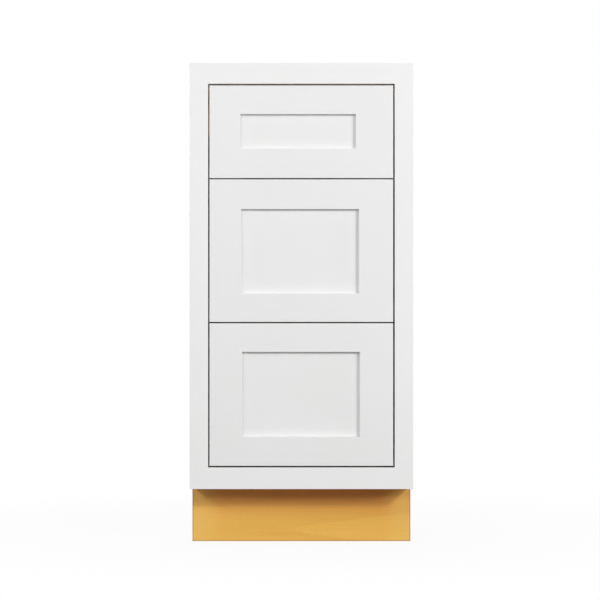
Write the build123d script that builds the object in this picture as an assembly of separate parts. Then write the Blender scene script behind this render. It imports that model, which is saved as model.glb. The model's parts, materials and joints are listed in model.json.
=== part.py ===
from build123d import *
import os
from collections import namedtuple

# Base cabinet with three inset drawers: a face-framed plywood box on a recessed toe kick.
#
# Each drawer is a dovetailed box with a five-piece recessed-panel front.  It runs on a pair of
# full-extension undermount slides: a cabinet rail, a carriage that travels half as far as the
# drawer, and a drawer rail, held to the box by two release clips with a squeeze lever each.
#
# Millimetres, +Z up.  The front faces -Y, and the origin is on the floor under the middle of
# the cabinet.  Right and left are those of a person who faces the front.

# ---------------------------------------------------------------- overall
CABINET_HEIGHT = 876.0
CABINET_WIDTH = 406.0  # across the face frame
CABINET_DEPTH = 610.0  # face frame's front to the back edges

# ---------------------------------------------------------------- face frame
FRAME_THICKNESS = 19.0
FRAME_STILE_WIDTH = 33.5
FRAME_TOP_RAIL_WIDTH = 37.8
FRAME_BOTTOM_RAIL_WIDTH = 39.3
FRAME_OVERHANG = 1.6  # how far the frame stands out past each side panel
FRAME_TENON_LENGTH = 12.0
FRAME_TENON_THICKNESS = 7.0
FRAME_TENON_SHOULDER = 6.0

# ---------------------------------------------------------------- plywood box
SIDE_THICKNESS = 12.0
BOTTOM_THICKNESS = 12.0
STRETCHER_THICKNESS = 12.0
FRONT_STRETCHER_WIDTH = 90.0
REAR_STRETCHER_WIDTH = 160.0
BATTEN_THICKNESS = 12.0  # of the strip on edge that stiffens the front stretcher
BATTEN_INSET = 10.0  # from the front stretcher's rear edge
BACK_THICKNESS = 6.0
HANGING_RAIL_THICKNESS = 16.0
HANGING_RAIL_WIDTH = 100.0
DADO_DEPTH = 6.0  # grooves in the side panels

TOE_HEIGHT = 102.0
TOE_SETBACK = 76.0  # face of the frame to the face of the kick board
KICK_THICKNESS = 12.0

FIXING_HOLE_RADIUS = 2.5  # for worktop screws and wall screws
FIXING_HOLE_SPACING = 240.0

# ---------------------------------------------------------------- drawer fronts
FRONT_GAP = 2.3  # between two drawer fronts
TOP_GAP = 3.0  # fronts to the frame, which was fitted by eye
BOTTOM_GAP = 2.9
LEFT_GAP = 2.5
RIGHT_GAP = 2.9
FRONT_THICKNESS = 19.0
FRONT_PANEL_THICKNESS = 6.4
FRONT_PANEL_INSET = 3.1  # back of the front to the back of its panel
FRONT_GROOVE_DEPTH = 9.5
FRONT_GROOVE_CLEARANCE = 1.0  # the panel floats in its groove
TOP_FRONT_HEIGHT = 168.3
TOP_FRONT_LEFT_STILE = 56.0
TOP_FRONT_RIGHT_STILE = 67.6
TOP_FRONT_LOWER_RAIL = 53.6
TOP_FRONT_UPPER_RAIL = 52.2
MIDDLE_FRONT_LEFT_STILE = 57.5
MIDDLE_FRONT_RIGHT_STILE = 62.1
MIDDLE_FRONT_LOWER_RAIL = 52.0
MIDDLE_FRONT_UPPER_RAIL = 54.1
BOTTOM_FRONT_LEFT_STILE = 59.5
BOTTOM_FRONT_RIGHT_STILE = 60.6
BOTTOM_FRONT_LOWER_RAIL = 52.8
BOTTOM_FRONT_UPPER_RAIL = 52.2

# ---------------------------------------------------------------- drawer boxes
BOX_SIDE_CLEARANCE = 5.0  # each side, to the edge of the frame's opening
BOX_WALL = 16.0
BOX_REAR_CLEARANCE = 36.0  # to the back panel
BOX_HEIGHT_ALLOWANCE = 54.5  # how much lower a box is than its front
BOX_BOTTOM_THICKNESS = 6.0
BOX_BOTTOM_RECESS = 13.0  # lower edge of the walls to the underside of the bottom
BOX_GROOVE_DEPTH = 6.0
BOX_GROOVE_CLEARANCE = 0.5
TAIL_LENGTH = 11.0
TAIL_PITCH = 25.4
TAIL_FLARE = 2.2  # how much wider a tail gets on each side, from shoulder to tip
PIN_WIDTH = 6.0  # between two tails at their tips

# ---------------------------------------------------------------- slides
SLIDE_SHEET = 1.5
SLIDE_DROP = 12.5  # underside of the cabinet rail below the box's lower edge
SLIDE_FLOOR_CLEARANCE = 1.5  # underside of the cabinet rail above the opening's lower edge
SLIDE_SETBACK = 3.0  # behind the back of the face frame
SLIDE_REAR_CLEARANCE = 33.0  # to the back panel
WALL_FLANGE_RISE = 22.0
CHANNEL_WALL_CLEARANCE = 5.0  # box's side wall to the channels
CHANNEL_WIDTH = 32.0
CHANNEL_LIP = 4.5
CABINET_CHANNEL_TOP = -1.0  # from the box's lower edge
DRAWER_CHANNEL_BOTTOM = 1.5
CARRIAGE_SIDE_PLAY = 0.5
CARRIAGE_PLAY = 0.4
CARRIAGE_WEB = 3.0
CARRIAGE_FRONT_PLAY = 2.5  # behind the drawer rail's front end
CARRIAGE_REAR_PLAY = 12.0  # in front of the drawer rail's rear end
SPACER_MARGIN = 14.0  # how far a spacer reaches above the cabinet rail

HOOK_PLATE_WIDTH = 12.0
HOOK_PLATE_MARGIN = 4.0  # top of the plate above the hook's axis
HOOK_RADIUS = 2.8
HOOK_LENGTH = 9.0
HOOK_RISE = 7.0  # hook's axis above the upper face of the box's bottom
HOOK_CLEARANCE = 0.2
NOTCH_CLEARANCE = 2.0  # from the slide to its notch in the box's back wall

DAMPER_LENGTH = 130.0
DAMPER_SIDE_CLEARANCE = 3.0
DAMPER_TOP_CLEARANCE = 1.5
DAMPER_REAR_CLEARANCE = 60.0  # in front of the cabinet rail's rear end

# ---------------------------------------------------------------- release clips
CLIP_HEIGHT = 11.8
CLIP_ARM_WIDTH = 26.0
CLIP_NOSE = 24.0  # length of the block in front of the drawer rail
CLIP_TAIL = 43.0  # length of the arm beside the drawer rail
CLIP_WALL_CLEARANCE = 1.0  # to the box's side wall
CLIP_RAIL_CLEARANCE = 0.5
CLIP_PLATE = 2.6
LEVER_THICKNESS = 6.0
LEVER_PIVOT_RADIUS = 2.0
LEVER_PIVOT_CLEARANCE = 0.05
LEVER_BOSS_RADIUS = 5.5
LEVER_PIVOT_INSET = 9.0  # pivot's axis from the drawer rail's flank
LEVER_PIVOT_BACK = 8.0  # pivot's axis in front of the clip's rear end
LEVER_ARM_WIDTH = 7.0
LEVER_ARM_LENGTH = 25.0
LEVER_TOOTH = 6.0
LEVER_TOOTH_REACH = 1.2  # into the drawer rail's flank
LEVER_TOOTH_BEVEL = 1.5
LEVER_GRIP_LENGTH = 30.0
LEVER_GRIP_LEAN = 14.0
LEVER_GRIP_WIDTH = 9.0
TOOTH_SLOT_CLEARANCE = 1.0

# ---------------------------------------------------------------- screws
SCREW_RADIUS = 2.0
SCREW_HOLE_CLEARANCE = 0.1
SCREW_HEAD_RADIUS = 4.0
SCREW_HEAD_HEIGHT = 2.0
SPACER_SCREW_COVER = 5.0  # wood left between a screw's end and the far face
SLIDE_SCREW_COVER = 5.0
FRONT_SCREW_COVER = 7.0
CLIP_SCREW_COVER = 4.0
SCREW_END_INSET = 40.0  # first and last screw along a slide or a spacer
SCREWS_PER_SLIDE = 3
FRONT_SCREW_INSET = 11.0  # from the box's side wall
FRONT_SCREW_ROW_HEIGHT = 110.0
CLIP_SCREW_PITCH = 17.0
CLIP_COUNTERBORE_DEPTH = 18.0

# ---------------------------------------------------------------- places worked out from these
FRONT_Y = -CABINET_DEPTH / 2
BACK_Y = CABINET_DEPTH / 2
FRAME_BACK_Y = FRONT_Y + FRAME_THICKNESS
KICK_FRONT_Y = FRONT_Y + TOE_SETBACK
KICK_BACK_Y = KICK_FRONT_Y + KICK_THICKNESS
HANGING_RAIL_Y = BACK_Y - HANGING_RAIL_THICKNESS
BACK_PANEL_Y = HANGING_RAIL_Y - BACK_THICKNESS
BOX_FRONT_Y = FRONT_Y + FRONT_THICKNESS
BOX_BACK_Y = BACK_PANEL_Y - BOX_REAR_CLEARANCE
RAIL_FRONT_Y = FRAME_BACK_Y + SLIDE_SETBACK
RAIL_BACK_Y = BACK_PANEL_Y - SLIDE_REAR_CLEARANCE
PANEL_FRONT_Y = BOX_FRONT_Y - FRONT_PANEL_INSET - FRONT_PANEL_THICKNESS

OUTER_X = CABINET_WIDTH / 2 - FRAME_OVERHANG  # outside of a side panel
INNER_X = OUTER_X - SIDE_THICKNESS
DADO_X = INNER_X + DADO_DEPTH
OPENING_X = CABINET_WIDTH / 2 - FRAME_STILE_WIDTH
FRONT_LEFT_X = -OPENING_X + LEFT_GAP
FRONT_RIGHT_X = OPENING_X - RIGHT_GAP
BOX_X = OPENING_X - BOX_SIDE_CLEARANCE
BOX_INNER_X = BOX_X - BOX_WALL

OPENING_BOTTOM = TOE_HEIGHT + FRAME_BOTTOM_RAIL_WIDTH
OPENING_TOP = CABINET_HEIGHT - FRAME_TOP_RAIL_WIDTH
FLOOR_Z = OPENING_BOTTOM  # top of the bottom panel
FLOOR_UNDERSIDE = FLOOR_Z - BOTTOM_THICKNESS
STRETCHER_Z = CABINET_HEIGHT - STRETCHER_THICKNESS
WALL_SCREW_Z = CABINET_HEIGHT - HANGING_RAIL_WIDTH / 2
GAPS_HEIGHT = TOP_GAP + 2 * FRONT_GAP + BOTTOM_GAP
DEEP_FRONT_HEIGHT = (OPENING_TOP - OPENING_BOTTOM - GAPS_HEIGHT - TOP_FRONT_HEIGHT) / 2

CLIP_FRONT_Y = BOX_FRONT_Y + BOX_WALL
DRAWER_RAIL_FRONT_Y = CLIP_FRONT_Y + CLIP_NOSE + CLIP_RAIL_CLEARANCE
CARRIAGE_FRONT_Y = DRAWER_RAIL_FRONT_Y + CARRIAGE_FRONT_PLAY
SLIDE_BOTTOM_CLEARANCE = SLIDE_DROP + SLIDE_FLOOR_CLEARANCE
DRAWER_CHANNEL_TOP = BOX_BOTTOM_RECESS
HOOK_HEIGHT = BOX_BOTTOM_RECESS + BOX_BOTTOM_THICKNESS + HOOK_RISE
CLIP_TOP = BOX_BOTTOM_RECESS
CLIP_BOTTOM = CLIP_TOP - CLIP_HEIGHT

# Distances inboard of the opening's edge, the same on both sides
WALL_U = BOX_SIDE_CLEARANCE + BOX_WALL  # the inner face of the box's side wall
CHANNEL_U = WALL_U + CHANNEL_WALL_CLEARANCE
CHANNEL_MIDDLE_U = CHANNEL_U + CHANNEL_WIDTH / 2
CHANNEL_INNER_U = CHANNEL_U + CHANNEL_WIDTH
LEVER_U = CHANNEL_INNER_U + LEVER_PIVOT_INSET
LEVER_Y = CLIP_FRONT_Y + CLIP_NOSE + CLIP_TAIL - LEVER_PIVOT_BACK
LEVER_Z = (CLIP_BOTTOM + CLIP_TOP - LEVER_THICKNESS) / 2
CLIP_SCREW_Z = CLIP_BOTTOM + CLIP_HEIGHT / 2

Drawer = namedtuple(
    "Drawer", "name gap_below front_z front_height left_stile right_stile lower_rail upper_rail"
)
BOTTOM_FRONT_Z = OPENING_BOTTOM + BOTTOM_GAP
MIDDLE_FRONT_Z = BOTTOM_FRONT_Z + DEEP_FRONT_HEIGHT + FRONT_GAP
TOP_FRONT_Z = MIDDLE_FRONT_Z + DEEP_FRONT_HEIGHT + FRONT_GAP
DRAWERS = [
    Drawer(
        "top", FRONT_GAP, TOP_FRONT_Z, TOP_FRONT_HEIGHT, TOP_FRONT_LEFT_STILE, TOP_FRONT_RIGHT_STILE,
        TOP_FRONT_LOWER_RAIL, TOP_FRONT_UPPER_RAIL,
    ),
    Drawer(
        "middle", FRONT_GAP, MIDDLE_FRONT_Z, DEEP_FRONT_HEIGHT, MIDDLE_FRONT_LEFT_STILE,
        MIDDLE_FRONT_RIGHT_STILE, MIDDLE_FRONT_LOWER_RAIL, MIDDLE_FRONT_UPPER_RAIL,
    ),
    Drawer(
        "bottom", BOTTOM_GAP, BOTTOM_FRONT_Z, DEEP_FRONT_HEIGHT, BOTTOM_FRONT_LEFT_STILE,
        BOTTOM_FRONT_RIGHT_STILE, BOTTOM_FRONT_LOWER_RAIL, BOTTOM_FRONT_UPPER_RAIL,
    ),
]
LEFT, RIGHT = -1, 1


def box_z(drawer):
    """Height of the lower edge of a drawer's box."""
    return drawer.front_z - drawer.gap_below + SLIDE_BOTTOM_CLEARANCE


def box_height(drawer):
    return drawer.front_height - BOX_HEIGHT_ALLOWANCE


def inboard(u):
    """X on the right-hand side of a point that is u inboard of the opening's edge."""
    return OPENING_X - u


# ---------------------------------------------------------------- shapes used by many pieces
def block(x0, x1, y0, y1, z0, z1):
    """A square-edged board between two corners."""
    return Pos(x0, y0, z0) * Box(x1 - x0, y1 - y0, z1 - z0, align=(Align.MIN, Align.MIN, Align.MIN))


def prism(points, direction):
    """The flat outline through some 3-D points, extruded by a vector."""
    outline = make_face(Polyline(*points, close=True))
    return extrude(outline, amount=Vector(*direction).length, dir=Vector(*direction).normalized())


def rod(start, direction, radius, length):
    """A round bar from a point along a direction."""
    return Plane(origin=start, z_dir=direction) * Cylinder(
        radius, length, align=(Align.CENTER, Align.CENTER, Align.MIN)
    )


def cone(start, direction, start_radius, end_radius, length):
    return Plane(origin=start, z_dir=direction) * Cone(
        start_radius, end_radius, length, align=(Align.CENTER, Align.CENTER, Align.MIN)
    )


def on_side(side, shape):
    """A shape made for the right-hand side, mirrored if it goes on the left."""
    return mirror(shape, about=Plane.YZ) if side == LEFT else shape


def pair(shape):
    return [shape, mirror(shape, about=Plane.YZ)]


def evenly(first, last, count):
    """count places from first to last."""
    return [first + (last - first) * i / (count - 1) for i in range(count)]


def save(name, *shapes):
    solids = [solid for shape in shapes for solid in shape.solids()]
    export_step(Compound(children=solids), f"parts/{name}.step")


# ---------------------------------------------------------------- screws and their holes
def pan_screw(seat, direction, length, clearance=0.0):
    """A pan-head screw whose head stands on the seat; with a clearance, the hole for its shank."""
    shank = rod(seat, direction, SCREW_RADIUS + clearance, length + clearance)
    if clearance:
        return shank
    away = Vector(*direction) * -1
    return shank + rod(seat, tuple(away), SCREW_HEAD_RADIUS, SCREW_HEAD_HEIGHT)


def flat_screw(seat, direction, length, clearance=0.0):
    """A countersunk screw whose head is flush with the seat; with a clearance, its countersunk hole."""
    head_radius, shank_radius = SCREW_HEAD_RADIUS + clearance, SCREW_RADIUS + clearance
    head = cone(seat, direction, head_radius, shank_radius, SCREW_HEAD_RADIUS - SCREW_RADIUS)
    return head + rod(seat, direction, shank_radius, length + clearance)


def spacer_screws(drawer, clearance=0.0):
    """Right-hand screws through a slide's spacer into the side panel."""
    z = box_z(drawer) + WALL_FLANGE_RISE + SPACER_MARGIN / 2
    length = OUTER_X - OPENING_X - SPACER_SCREW_COVER
    places = evenly(FRAME_BACK_Y + SCREW_END_INSET, BACK_PANEL_Y - SCREW_END_INSET, SCREWS_PER_SLIDE)
    return [flat_screw((OPENING_X, y, z), (1, 0, 0), length, clearance) for y in places]


def slide_screws(drawer, clearance=0.0):
    """Right-hand screws through a cabinet rail into its spacer."""
    seat_x = OPENING_X - SLIDE_SHEET
    z = box_z(drawer) + WALL_FLANGE_RISE - 2 * SCREW_HEAD_RADIUS
    length = INNER_X - seat_x - SLIDE_SCREW_COVER
    places = evenly(RAIL_FRONT_Y + SCREW_END_INSET, RAIL_BACK_Y - SCREW_END_INSET, SCREWS_PER_SLIDE)
    return [pan_screw((seat_x, y, z), (1, 0, 0), length, clearance) for y in places]


def front_screws(drawer, clearance=0.0):
    """Right-hand screws that hold a drawer front, driven from inside the box."""
    rows = max(1, round(box_height(drawer) / FRONT_SCREW_ROW_HEIGHT))
    free_height = box_height(drawer) - BOX_BOTTOM_RECESS - BOX_BOTTOM_THICKNESS
    lowest = box_z(drawer) + BOX_BOTTOM_RECESS + BOX_BOTTOM_THICKNESS
    heights = [lowest + free_height * (row + 0.5) / rows for row in range(rows)]
    x = BOX_INNER_X - FRONT_SCREW_INSET
    length = BOX_WALL + FRONT_THICKNESS - FRONT_SCREW_COVER
    return [pan_screw((x, CLIP_FRONT_Y, z), (0, -1, 0), length, clearance) for z in heights]


def clip_screws(drawer, clearance=0.0):
    """Right-hand screws that hold a release clip to the box's front wall, in counterbored holes."""
    seat_y = CLIP_FRONT_Y + CLIP_NOSE - CLIP_COUNTERBORE_DEPTH
    length = seat_y - BOX_FRONT_Y - CLIP_SCREW_COVER
    return [pan_screw((x, seat_y, box_z(drawer) + CLIP_SCREW_Z), (0, -1, 0), length, clearance)
            for x in clip_screw_places()]


def clip_screw_places():
    middle = inboard(CHANNEL_MIDDLE_U)
    return [middle - CLIP_SCREW_PITCH / 2, middle + CLIP_SCREW_PITCH / 2]


def drilled(shape, holes):
    for hole in holes:
        shape -= hole
    return shape


def fixing_holes(y, z, direction, depth):
    """The two screw holes through a stretcher, a hanging rail or the back panel."""
    places = (-FIXING_HOLE_SPACING / 2, FIXING_HOLE_SPACING / 2)
    return [rod((x, y, z), direction, FIXING_HOLE_RADIUS, depth) for x in places]


# ---------------------------------------------------------------- face frame
def frame_rail(z0, width):
    """A rail between the stiles, with a tenon at each end."""
    rail = block(-OPENING_X, OPENING_X, FRONT_Y, FRAME_BACK_Y, z0, z0 + width)
    return rail + frame_tenons(z0, width)


def frame_tenons(z0, width):
    """The tenons of one rail, which are also the shape of its mortises."""
    middle = FRONT_Y + FRAME_THICKNESS / 2
    reach = OPENING_X + FRAME_TENON_LENGTH
    return block(
        -reach, reach,
        middle - FRAME_TENON_THICKNESS / 2, middle + FRAME_TENON_THICKNESS / 2,
        z0 + FRAME_TENON_SHOULDER, z0 + width - FRAME_TENON_SHOULDER,
    )


def frame_stile(side):
    """A full-height stile with a mortise for each rail."""
    stile = block(OPENING_X, CABINET_WIDTH / 2, FRONT_Y, FRAME_BACK_Y, TOE_HEIGHT, CABINET_HEIGHT)
    stile -= frame_tenons(OPENING_TOP, FRAME_TOP_RAIL_WIDTH)
    stile -= frame_tenons(TOE_HEIGHT, FRAME_BOTTOM_RAIL_WIDTH)
    return on_side(side, stile)


# ---------------------------------------------------------------- plywood box
def side_panel(side):
    """A side down to the floor, notched for the toe space and grooved for its neighbours."""
    panel = block(INNER_X, OUTER_X, FRAME_BACK_Y, BACK_Y, 0, CABINET_HEIGHT)
    panel -= block(INNER_X, OUTER_X, FRAME_BACK_Y, KICK_BACK_Y, 0, TOE_HEIGHT)
    panel -= bottom_panel()
    panel -= back_panel()
    panel -= front_stretcher()
    panel -= rear_stretcher()
    for drawer in DRAWERS:
        panel = drilled(panel, spacer_screws(drawer, SCREW_HOLE_CLEARANCE))
    return on_side(side, panel)


def bottom_panel():
    return block(-DADO_X, DADO_X, FRAME_BACK_Y, BACK_PANEL_Y, FLOOR_UNDERSIDE, FLOOR_Z)


def back_panel():
    panel = block(-DADO_X, DADO_X, BACK_PANEL_Y, HANGING_RAIL_Y, FLOOR_UNDERSIDE, CABINET_HEIGHT)
    return drilled(panel, fixing_holes(BACK_PANEL_Y, WALL_SCREW_Z, (0, 1, 0), BACK_THICKNESS))


def hanging_rail(z0):
    """A rail behind the back panel that takes the wall screws."""
    return block(-INNER_X, INNER_X, HANGING_RAIL_Y, BACK_Y, z0, z0 + HANGING_RAIL_WIDTH)


def top_hanging_rail():
    holes = fixing_holes(HANGING_RAIL_Y, WALL_SCREW_Z, (0, 1, 0), HANGING_RAIL_THICKNESS)
    return drilled(hanging_rail(CABINET_HEIGHT - HANGING_RAIL_WIDTH), holes)


def stretcher(y0, y1):
    """A flat board let into both sides at the top, with two holes for worktop screws."""
    board = block(-DADO_X, DADO_X, y0, y1, STRETCHER_Z, CABINET_HEIGHT)
    middle = (y0 + y1) / 2
    return drilled(board, fixing_holes(middle, STRETCHER_Z, (0, 0, 1), STRETCHER_THICKNESS))


def front_stretcher():
    return stretcher(FRAME_BACK_Y, FRAME_BACK_Y + FRONT_STRETCHER_WIDTH)


def stretcher_batten():
    """Stands on edge under the front stretcher, down to the opening's upper edge."""
    y1 = FRAME_BACK_Y + FRONT_STRETCHER_WIDTH - BATTEN_INSET
    return block(-INNER_X, INNER_X, y1 - BATTEN_THICKNESS, y1, OPENING_TOP, STRETCHER_Z)


def rear_stretcher():
    return stretcher(BACK_PANEL_Y - REAR_STRETCHER_WIDTH, BACK_PANEL_Y)


def toe_kick_board():
    """Full width over the side panels' notches, with a tongue between them up to the bottom panel."""
    board = block(-OUTER_X, OUTER_X, KICK_FRONT_Y, KICK_BACK_Y, 0, TOE_HEIGHT)
    return board + block(-INNER_X, INNER_X, KICK_FRONT_Y, KICK_BACK_Y, TOE_HEIGHT, FLOOR_UNDERSIDE)


def slide_spacer(side, drawer):
    """Packs a slide out from the side panel to the edge of the frame's opening."""
    z0 = box_z(drawer) - SLIDE_BOTTOM_CLEARANCE
    z1 = box_z(drawer) + WALL_FLANGE_RISE + SPACER_MARGIN
    spacer = block(OPENING_X, INNER_X, FRAME_BACK_Y, BACK_PANEL_Y, z0, z1)
    spacer = drilled(spacer, spacer_screws(drawer, SCREW_HOLE_CLEARANCE))
    spacer = drilled(spacer, slide_screws(drawer, SCREW_HOLE_CLEARANCE))
    return on_side(side, spacer)


# ---------------------------------------------------------------- slides
def profile_bar(points, z0, y0, length):
    """A right-hand bar with a cross-section given as (inboard, height above z0) points."""
    return prism([(inboard(u), y0, z0 + v) for u, v in points], (0, length, 0))


def channel(floor, rim):
    """Section of a channel with inturned lips; it opens upwards if the rim is above the floor."""
    up = 1 if rim > floor else -1
    sheet = SLIDE_SHEET * up
    left, right = CHANNEL_U, CHANNEL_INNER_U
    return [
        (left, floor), (right, floor), (right, rim), (right - CHANNEL_LIP, rim),
        (right - CHANNEL_LIP, rim - sheet), (right - SLIDE_SHEET, rim - sheet),
        (right - SLIDE_SHEET, floor + sheet), (left + SLIDE_SHEET, floor + sheet),
        (left + SLIDE_SHEET, rim - sheet), (left + CHANNEL_LIP, rim - sheet),
        (left + CHANNEL_LIP, rim), (left, rim),
    ]


def cabinet_rail(side, drawer):
    """The fixed member: a channel on a web that folds up into a flange against the spacer."""
    z0 = box_z(drawer)
    length = RAIL_BACK_Y - RAIL_FRONT_Y
    rail = profile_bar(channel(-SLIDE_DROP, CABINET_CHANNEL_TOP), z0, RAIL_FRONT_Y, length)
    web = [
        (0, -SLIDE_DROP), (CHANNEL_U + SLIDE_SHEET, -SLIDE_DROP),
        (CHANNEL_U + SLIDE_SHEET, SLIDE_SHEET - SLIDE_DROP), (SLIDE_SHEET, SLIDE_SHEET - SLIDE_DROP),
        (SLIDE_SHEET, WALL_FLANGE_RISE), (0, WALL_FLANGE_RISE),
    ]
    rail += profile_bar(web, z0, RAIL_FRONT_Y, length)
    rail = drilled(rail, slide_screws(drawer, SCREW_HOLE_CLEARANCE))
    return on_side(side, rail)


def carriage(side, drawer):
    """The middle member: an I section whose turned-in flanges fill the two channels."""
    half = CHANNEL_WIDTH / 2 - SLIDE_SHEET - CARRIAGE_SIDE_PLAY
    web = CARRIAGE_WEB / 2
    low = -SLIDE_DROP + SLIDE_SHEET + CARRIAGE_PLAY
    low_rim = CABINET_CHANNEL_TOP - SLIDE_SHEET - CARRIAGE_PLAY
    high = DRAWER_CHANNEL_TOP - SLIDE_SHEET - CARRIAGE_PLAY
    high_rim = DRAWER_CHANNEL_BOTTOM + SLIDE_SHEET + CARRIAGE_PLAY
    flank = [
        (half, low), (half, low_rim), (half - SLIDE_SHEET, low_rim),
        (half - SLIDE_SHEET, low + SLIDE_SHEET), (web, low + SLIDE_SHEET),
        (web, high - SLIDE_SHEET), (half - SLIDE_SHEET, high - SLIDE_SHEET),
        (half - SLIDE_SHEET, high_rim), (half, high_rim), (half, high),
    ]
    points = [(CHANNEL_MIDDLE_U + a, v) for a, v in flank]
    points += [(CHANNEL_MIDDLE_U - a, v) for a, v in reversed(flank)]
    length = BOX_BACK_Y - CARRIAGE_REAR_PLAY - CARRIAGE_FRONT_Y
    return on_side(side, profile_bar(points, box_z(drawer), CARRIAGE_FRONT_Y, length))


def drawer_rail(side, drawer):
    """The moving member: an upturned channel under the box's bottom, with a hook at its rear end."""
    z0 = box_z(drawer)
    section = channel(DRAWER_CHANNEL_TOP, DRAWER_CHANNEL_BOTTOM)
    rail = profile_bar(section, z0, DRAWER_RAIL_FRONT_Y, BOX_BACK_Y - DRAWER_RAIL_FRONT_Y)
    middle = inboard(CHANNEL_MIDDLE_U)
    rail += block(
        middle - HOOK_PLATE_WIDTH / 2, middle + HOOK_PLATE_WIDTH / 2,
        BOX_BACK_Y, BOX_BACK_Y + SLIDE_SHEET,
        z0 + DRAWER_CHANNEL_TOP - SLIDE_SHEET, z0 + HOOK_HEIGHT + HOOK_PLATE_MARGIN,
    )
    rail += rod((middle, BOX_BACK_Y, z0 + HOOK_HEIGHT), (0, -1, 0), HOOK_RADIUS, HOOK_LENGTH)
    return on_side(side, rail - tooth_slot(z0))


def damper(side, drawer):
    """The closed housing of a soft-close damper, on the cabinet rail's web."""
    x0 = inboard(CHANNEL_U - DAMPER_SIDE_CLEARANCE)
    x1 = inboard(SLIDE_SHEET + DAMPER_SIDE_CLEARANCE)
    y1 = RAIL_BACK_Y - DAMPER_REAR_CLEARANCE
    z0 = box_z(drawer) - SLIDE_DROP + SLIDE_SHEET
    return on_side(side, block(x0, x1, y1 - DAMPER_LENGTH, y1, z0, box_z(drawer) - DAMPER_TOP_CLEARANCE))


# ---------------------------------------------------------------- release clips
def tooth_slot(z0):
    """The slot in a drawer rail's inboard flank that a lever's tooth locks into."""
    front = LEVER_Y - LEVER_ARM_LENGTH - TOOTH_SLOT_CLEARANCE
    rear = LEVER_Y - LEVER_ARM_LENGTH + LEVER_TOOTH + TOOTH_SLOT_CLEARANCE
    low = z0 + LEVER_Z - TOOTH_SLOT_CLEARANCE / 2
    high = z0 + LEVER_Z + LEVER_THICKNESS + TOOTH_SLOT_CLEARANCE / 2
    return block(inboard(CHANNEL_INNER_U), inboard(CHANNEL_INNER_U - SLIDE_SHEET), front, rear, low, high)


def release_clip(side, drawer):
    """An L-shaped housing in the corner behind the box's front wall, forked around its lever."""
    z0 = box_z(drawer)
    nose_y = CLIP_FRONT_Y + CLIP_NOSE
    low, high = z0 + CLIP_BOTTOM, z0 + CLIP_TOP
    x0 = inboard(CHANNEL_INNER_U + CLIP_ARM_WIDTH)
    nose = block(x0, inboard(WALL_U + CLIP_WALL_CLEARANCE), CLIP_FRONT_Y, nose_y, low, high)
    arm_x = inboard(CHANNEL_INNER_U + CLIP_RAIL_CLEARANCE)
    lower_plate = block(x0, arm_x, nose_y, nose_y + CLIP_TAIL, low, low + CLIP_PLATE)
    upper_plate = block(x0, arm_x, nose_y, nose_y + CLIP_TAIL, high - CLIP_PLATE, high)
    pivot = rod((inboard(LEVER_U), LEVER_Y, low), (0, 0, 1), LEVER_PIVOT_RADIUS, CLIP_HEIGHT)
    clip = nose + lower_plate + upper_plate + pivot
    for x in clip_screw_places():
        mouth = (x, nose_y, z0 + CLIP_SCREW_Z)
        clip -= rod(mouth, (0, -1, 0), SCREW_HEAD_RADIUS + SCREW_HOLE_CLEARANCE, CLIP_COUNTERBORE_DEPTH)
    return on_side(side, drilled(clip, clip_screws(drawer, SCREW_HOLE_CLEARANCE)))


def release_lever(side, drawer):
    """A squeeze lever: a toothed arm in front of its pivot and a finger grip behind it."""
    z = box_z(drawer) + LEVER_Z
    x = inboard(LEVER_U)
    half = LEVER_ARM_WIDTH / 2
    tip_x = inboard(CHANNEL_INNER_U - LEVER_TOOTH_REACH)
    tooth_front = LEVER_Y - LEVER_ARM_LENGTH
    tooth_back = tooth_front + LEVER_TOOTH
    arm = prism([
        (x - half, LEVER_Y, z), (x - half, tooth_front, z),
        (tip_x, tooth_front, z), (tip_x, tooth_back - LEVER_TOOTH_BEVEL, z),
        (tip_x - LEVER_TOOTH_BEVEL, tooth_back, z), (x + half, tooth_back, z), (x + half, LEVER_Y, z),
    ], (0, 0, LEVER_THICKNESS))
    grip_half = LEVER_GRIP_WIDTH / 2
    grip_x = x - LEVER_GRIP_LEAN
    grip_y = LEVER_Y + LEVER_GRIP_LENGTH
    grip = prism([
        (x - grip_half, LEVER_Y, z), (x + grip_half, LEVER_Y, z),
        (grip_x + grip_half, grip_y, z), (grip_x - grip_half, grip_y, z),
    ], (0, 0, LEVER_THICKNESS))
    boss = rod((x, LEVER_Y, z), (0, 0, 1), LEVER_BOSS_RADIUS, LEVER_THICKNESS)
    pad = rod((grip_x, grip_y, z), (0, 0, 1), grip_half, LEVER_THICKNESS)
    bore = rod((x, LEVER_Y, z), (0, 0, 1), LEVER_PIVOT_RADIUS + LEVER_PIVOT_CLEARANCE, LEVER_THICKNESS)
    return on_side(side, arm + grip + boss + pad - bore)


# ---------------------------------------------------------------- drawer boxes
def tails(drawer, shoulder_y, tip_y):
    """Right-hand dovetails at one end of a box side, from the shoulder out to their tips."""
    count = max(2, int(box_height(drawer) / TAIL_PITCH))
    cell = box_height(drawer) / count
    tip_half = (cell - PIN_WIDTH) / 2
    shoulder_half = tip_half - TAIL_FLARE
    made = []
    for i in range(count):
        z = box_z(drawer) + cell * (i + 0.5)
        made.append(prism([
            (BOX_INNER_X, shoulder_y, z - shoulder_half), (BOX_INNER_X, tip_y, z - tip_half),
            (BOX_INNER_X, tip_y, z + tip_half), (BOX_INNER_X, shoulder_y, z + shoulder_half),
        ], (BOX_WALL, 0, 0)))
    return made


def front_tails(drawer):
    shoulder_y = BOX_FRONT_Y + BOX_WALL
    return tails(drawer, shoulder_y, shoulder_y - TAIL_LENGTH)


def rear_tails(drawer):
    shoulder_y = BOX_BACK_Y - BOX_WALL
    return tails(drawer, shoulder_y, shoulder_y + TAIL_LENGTH)


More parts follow.
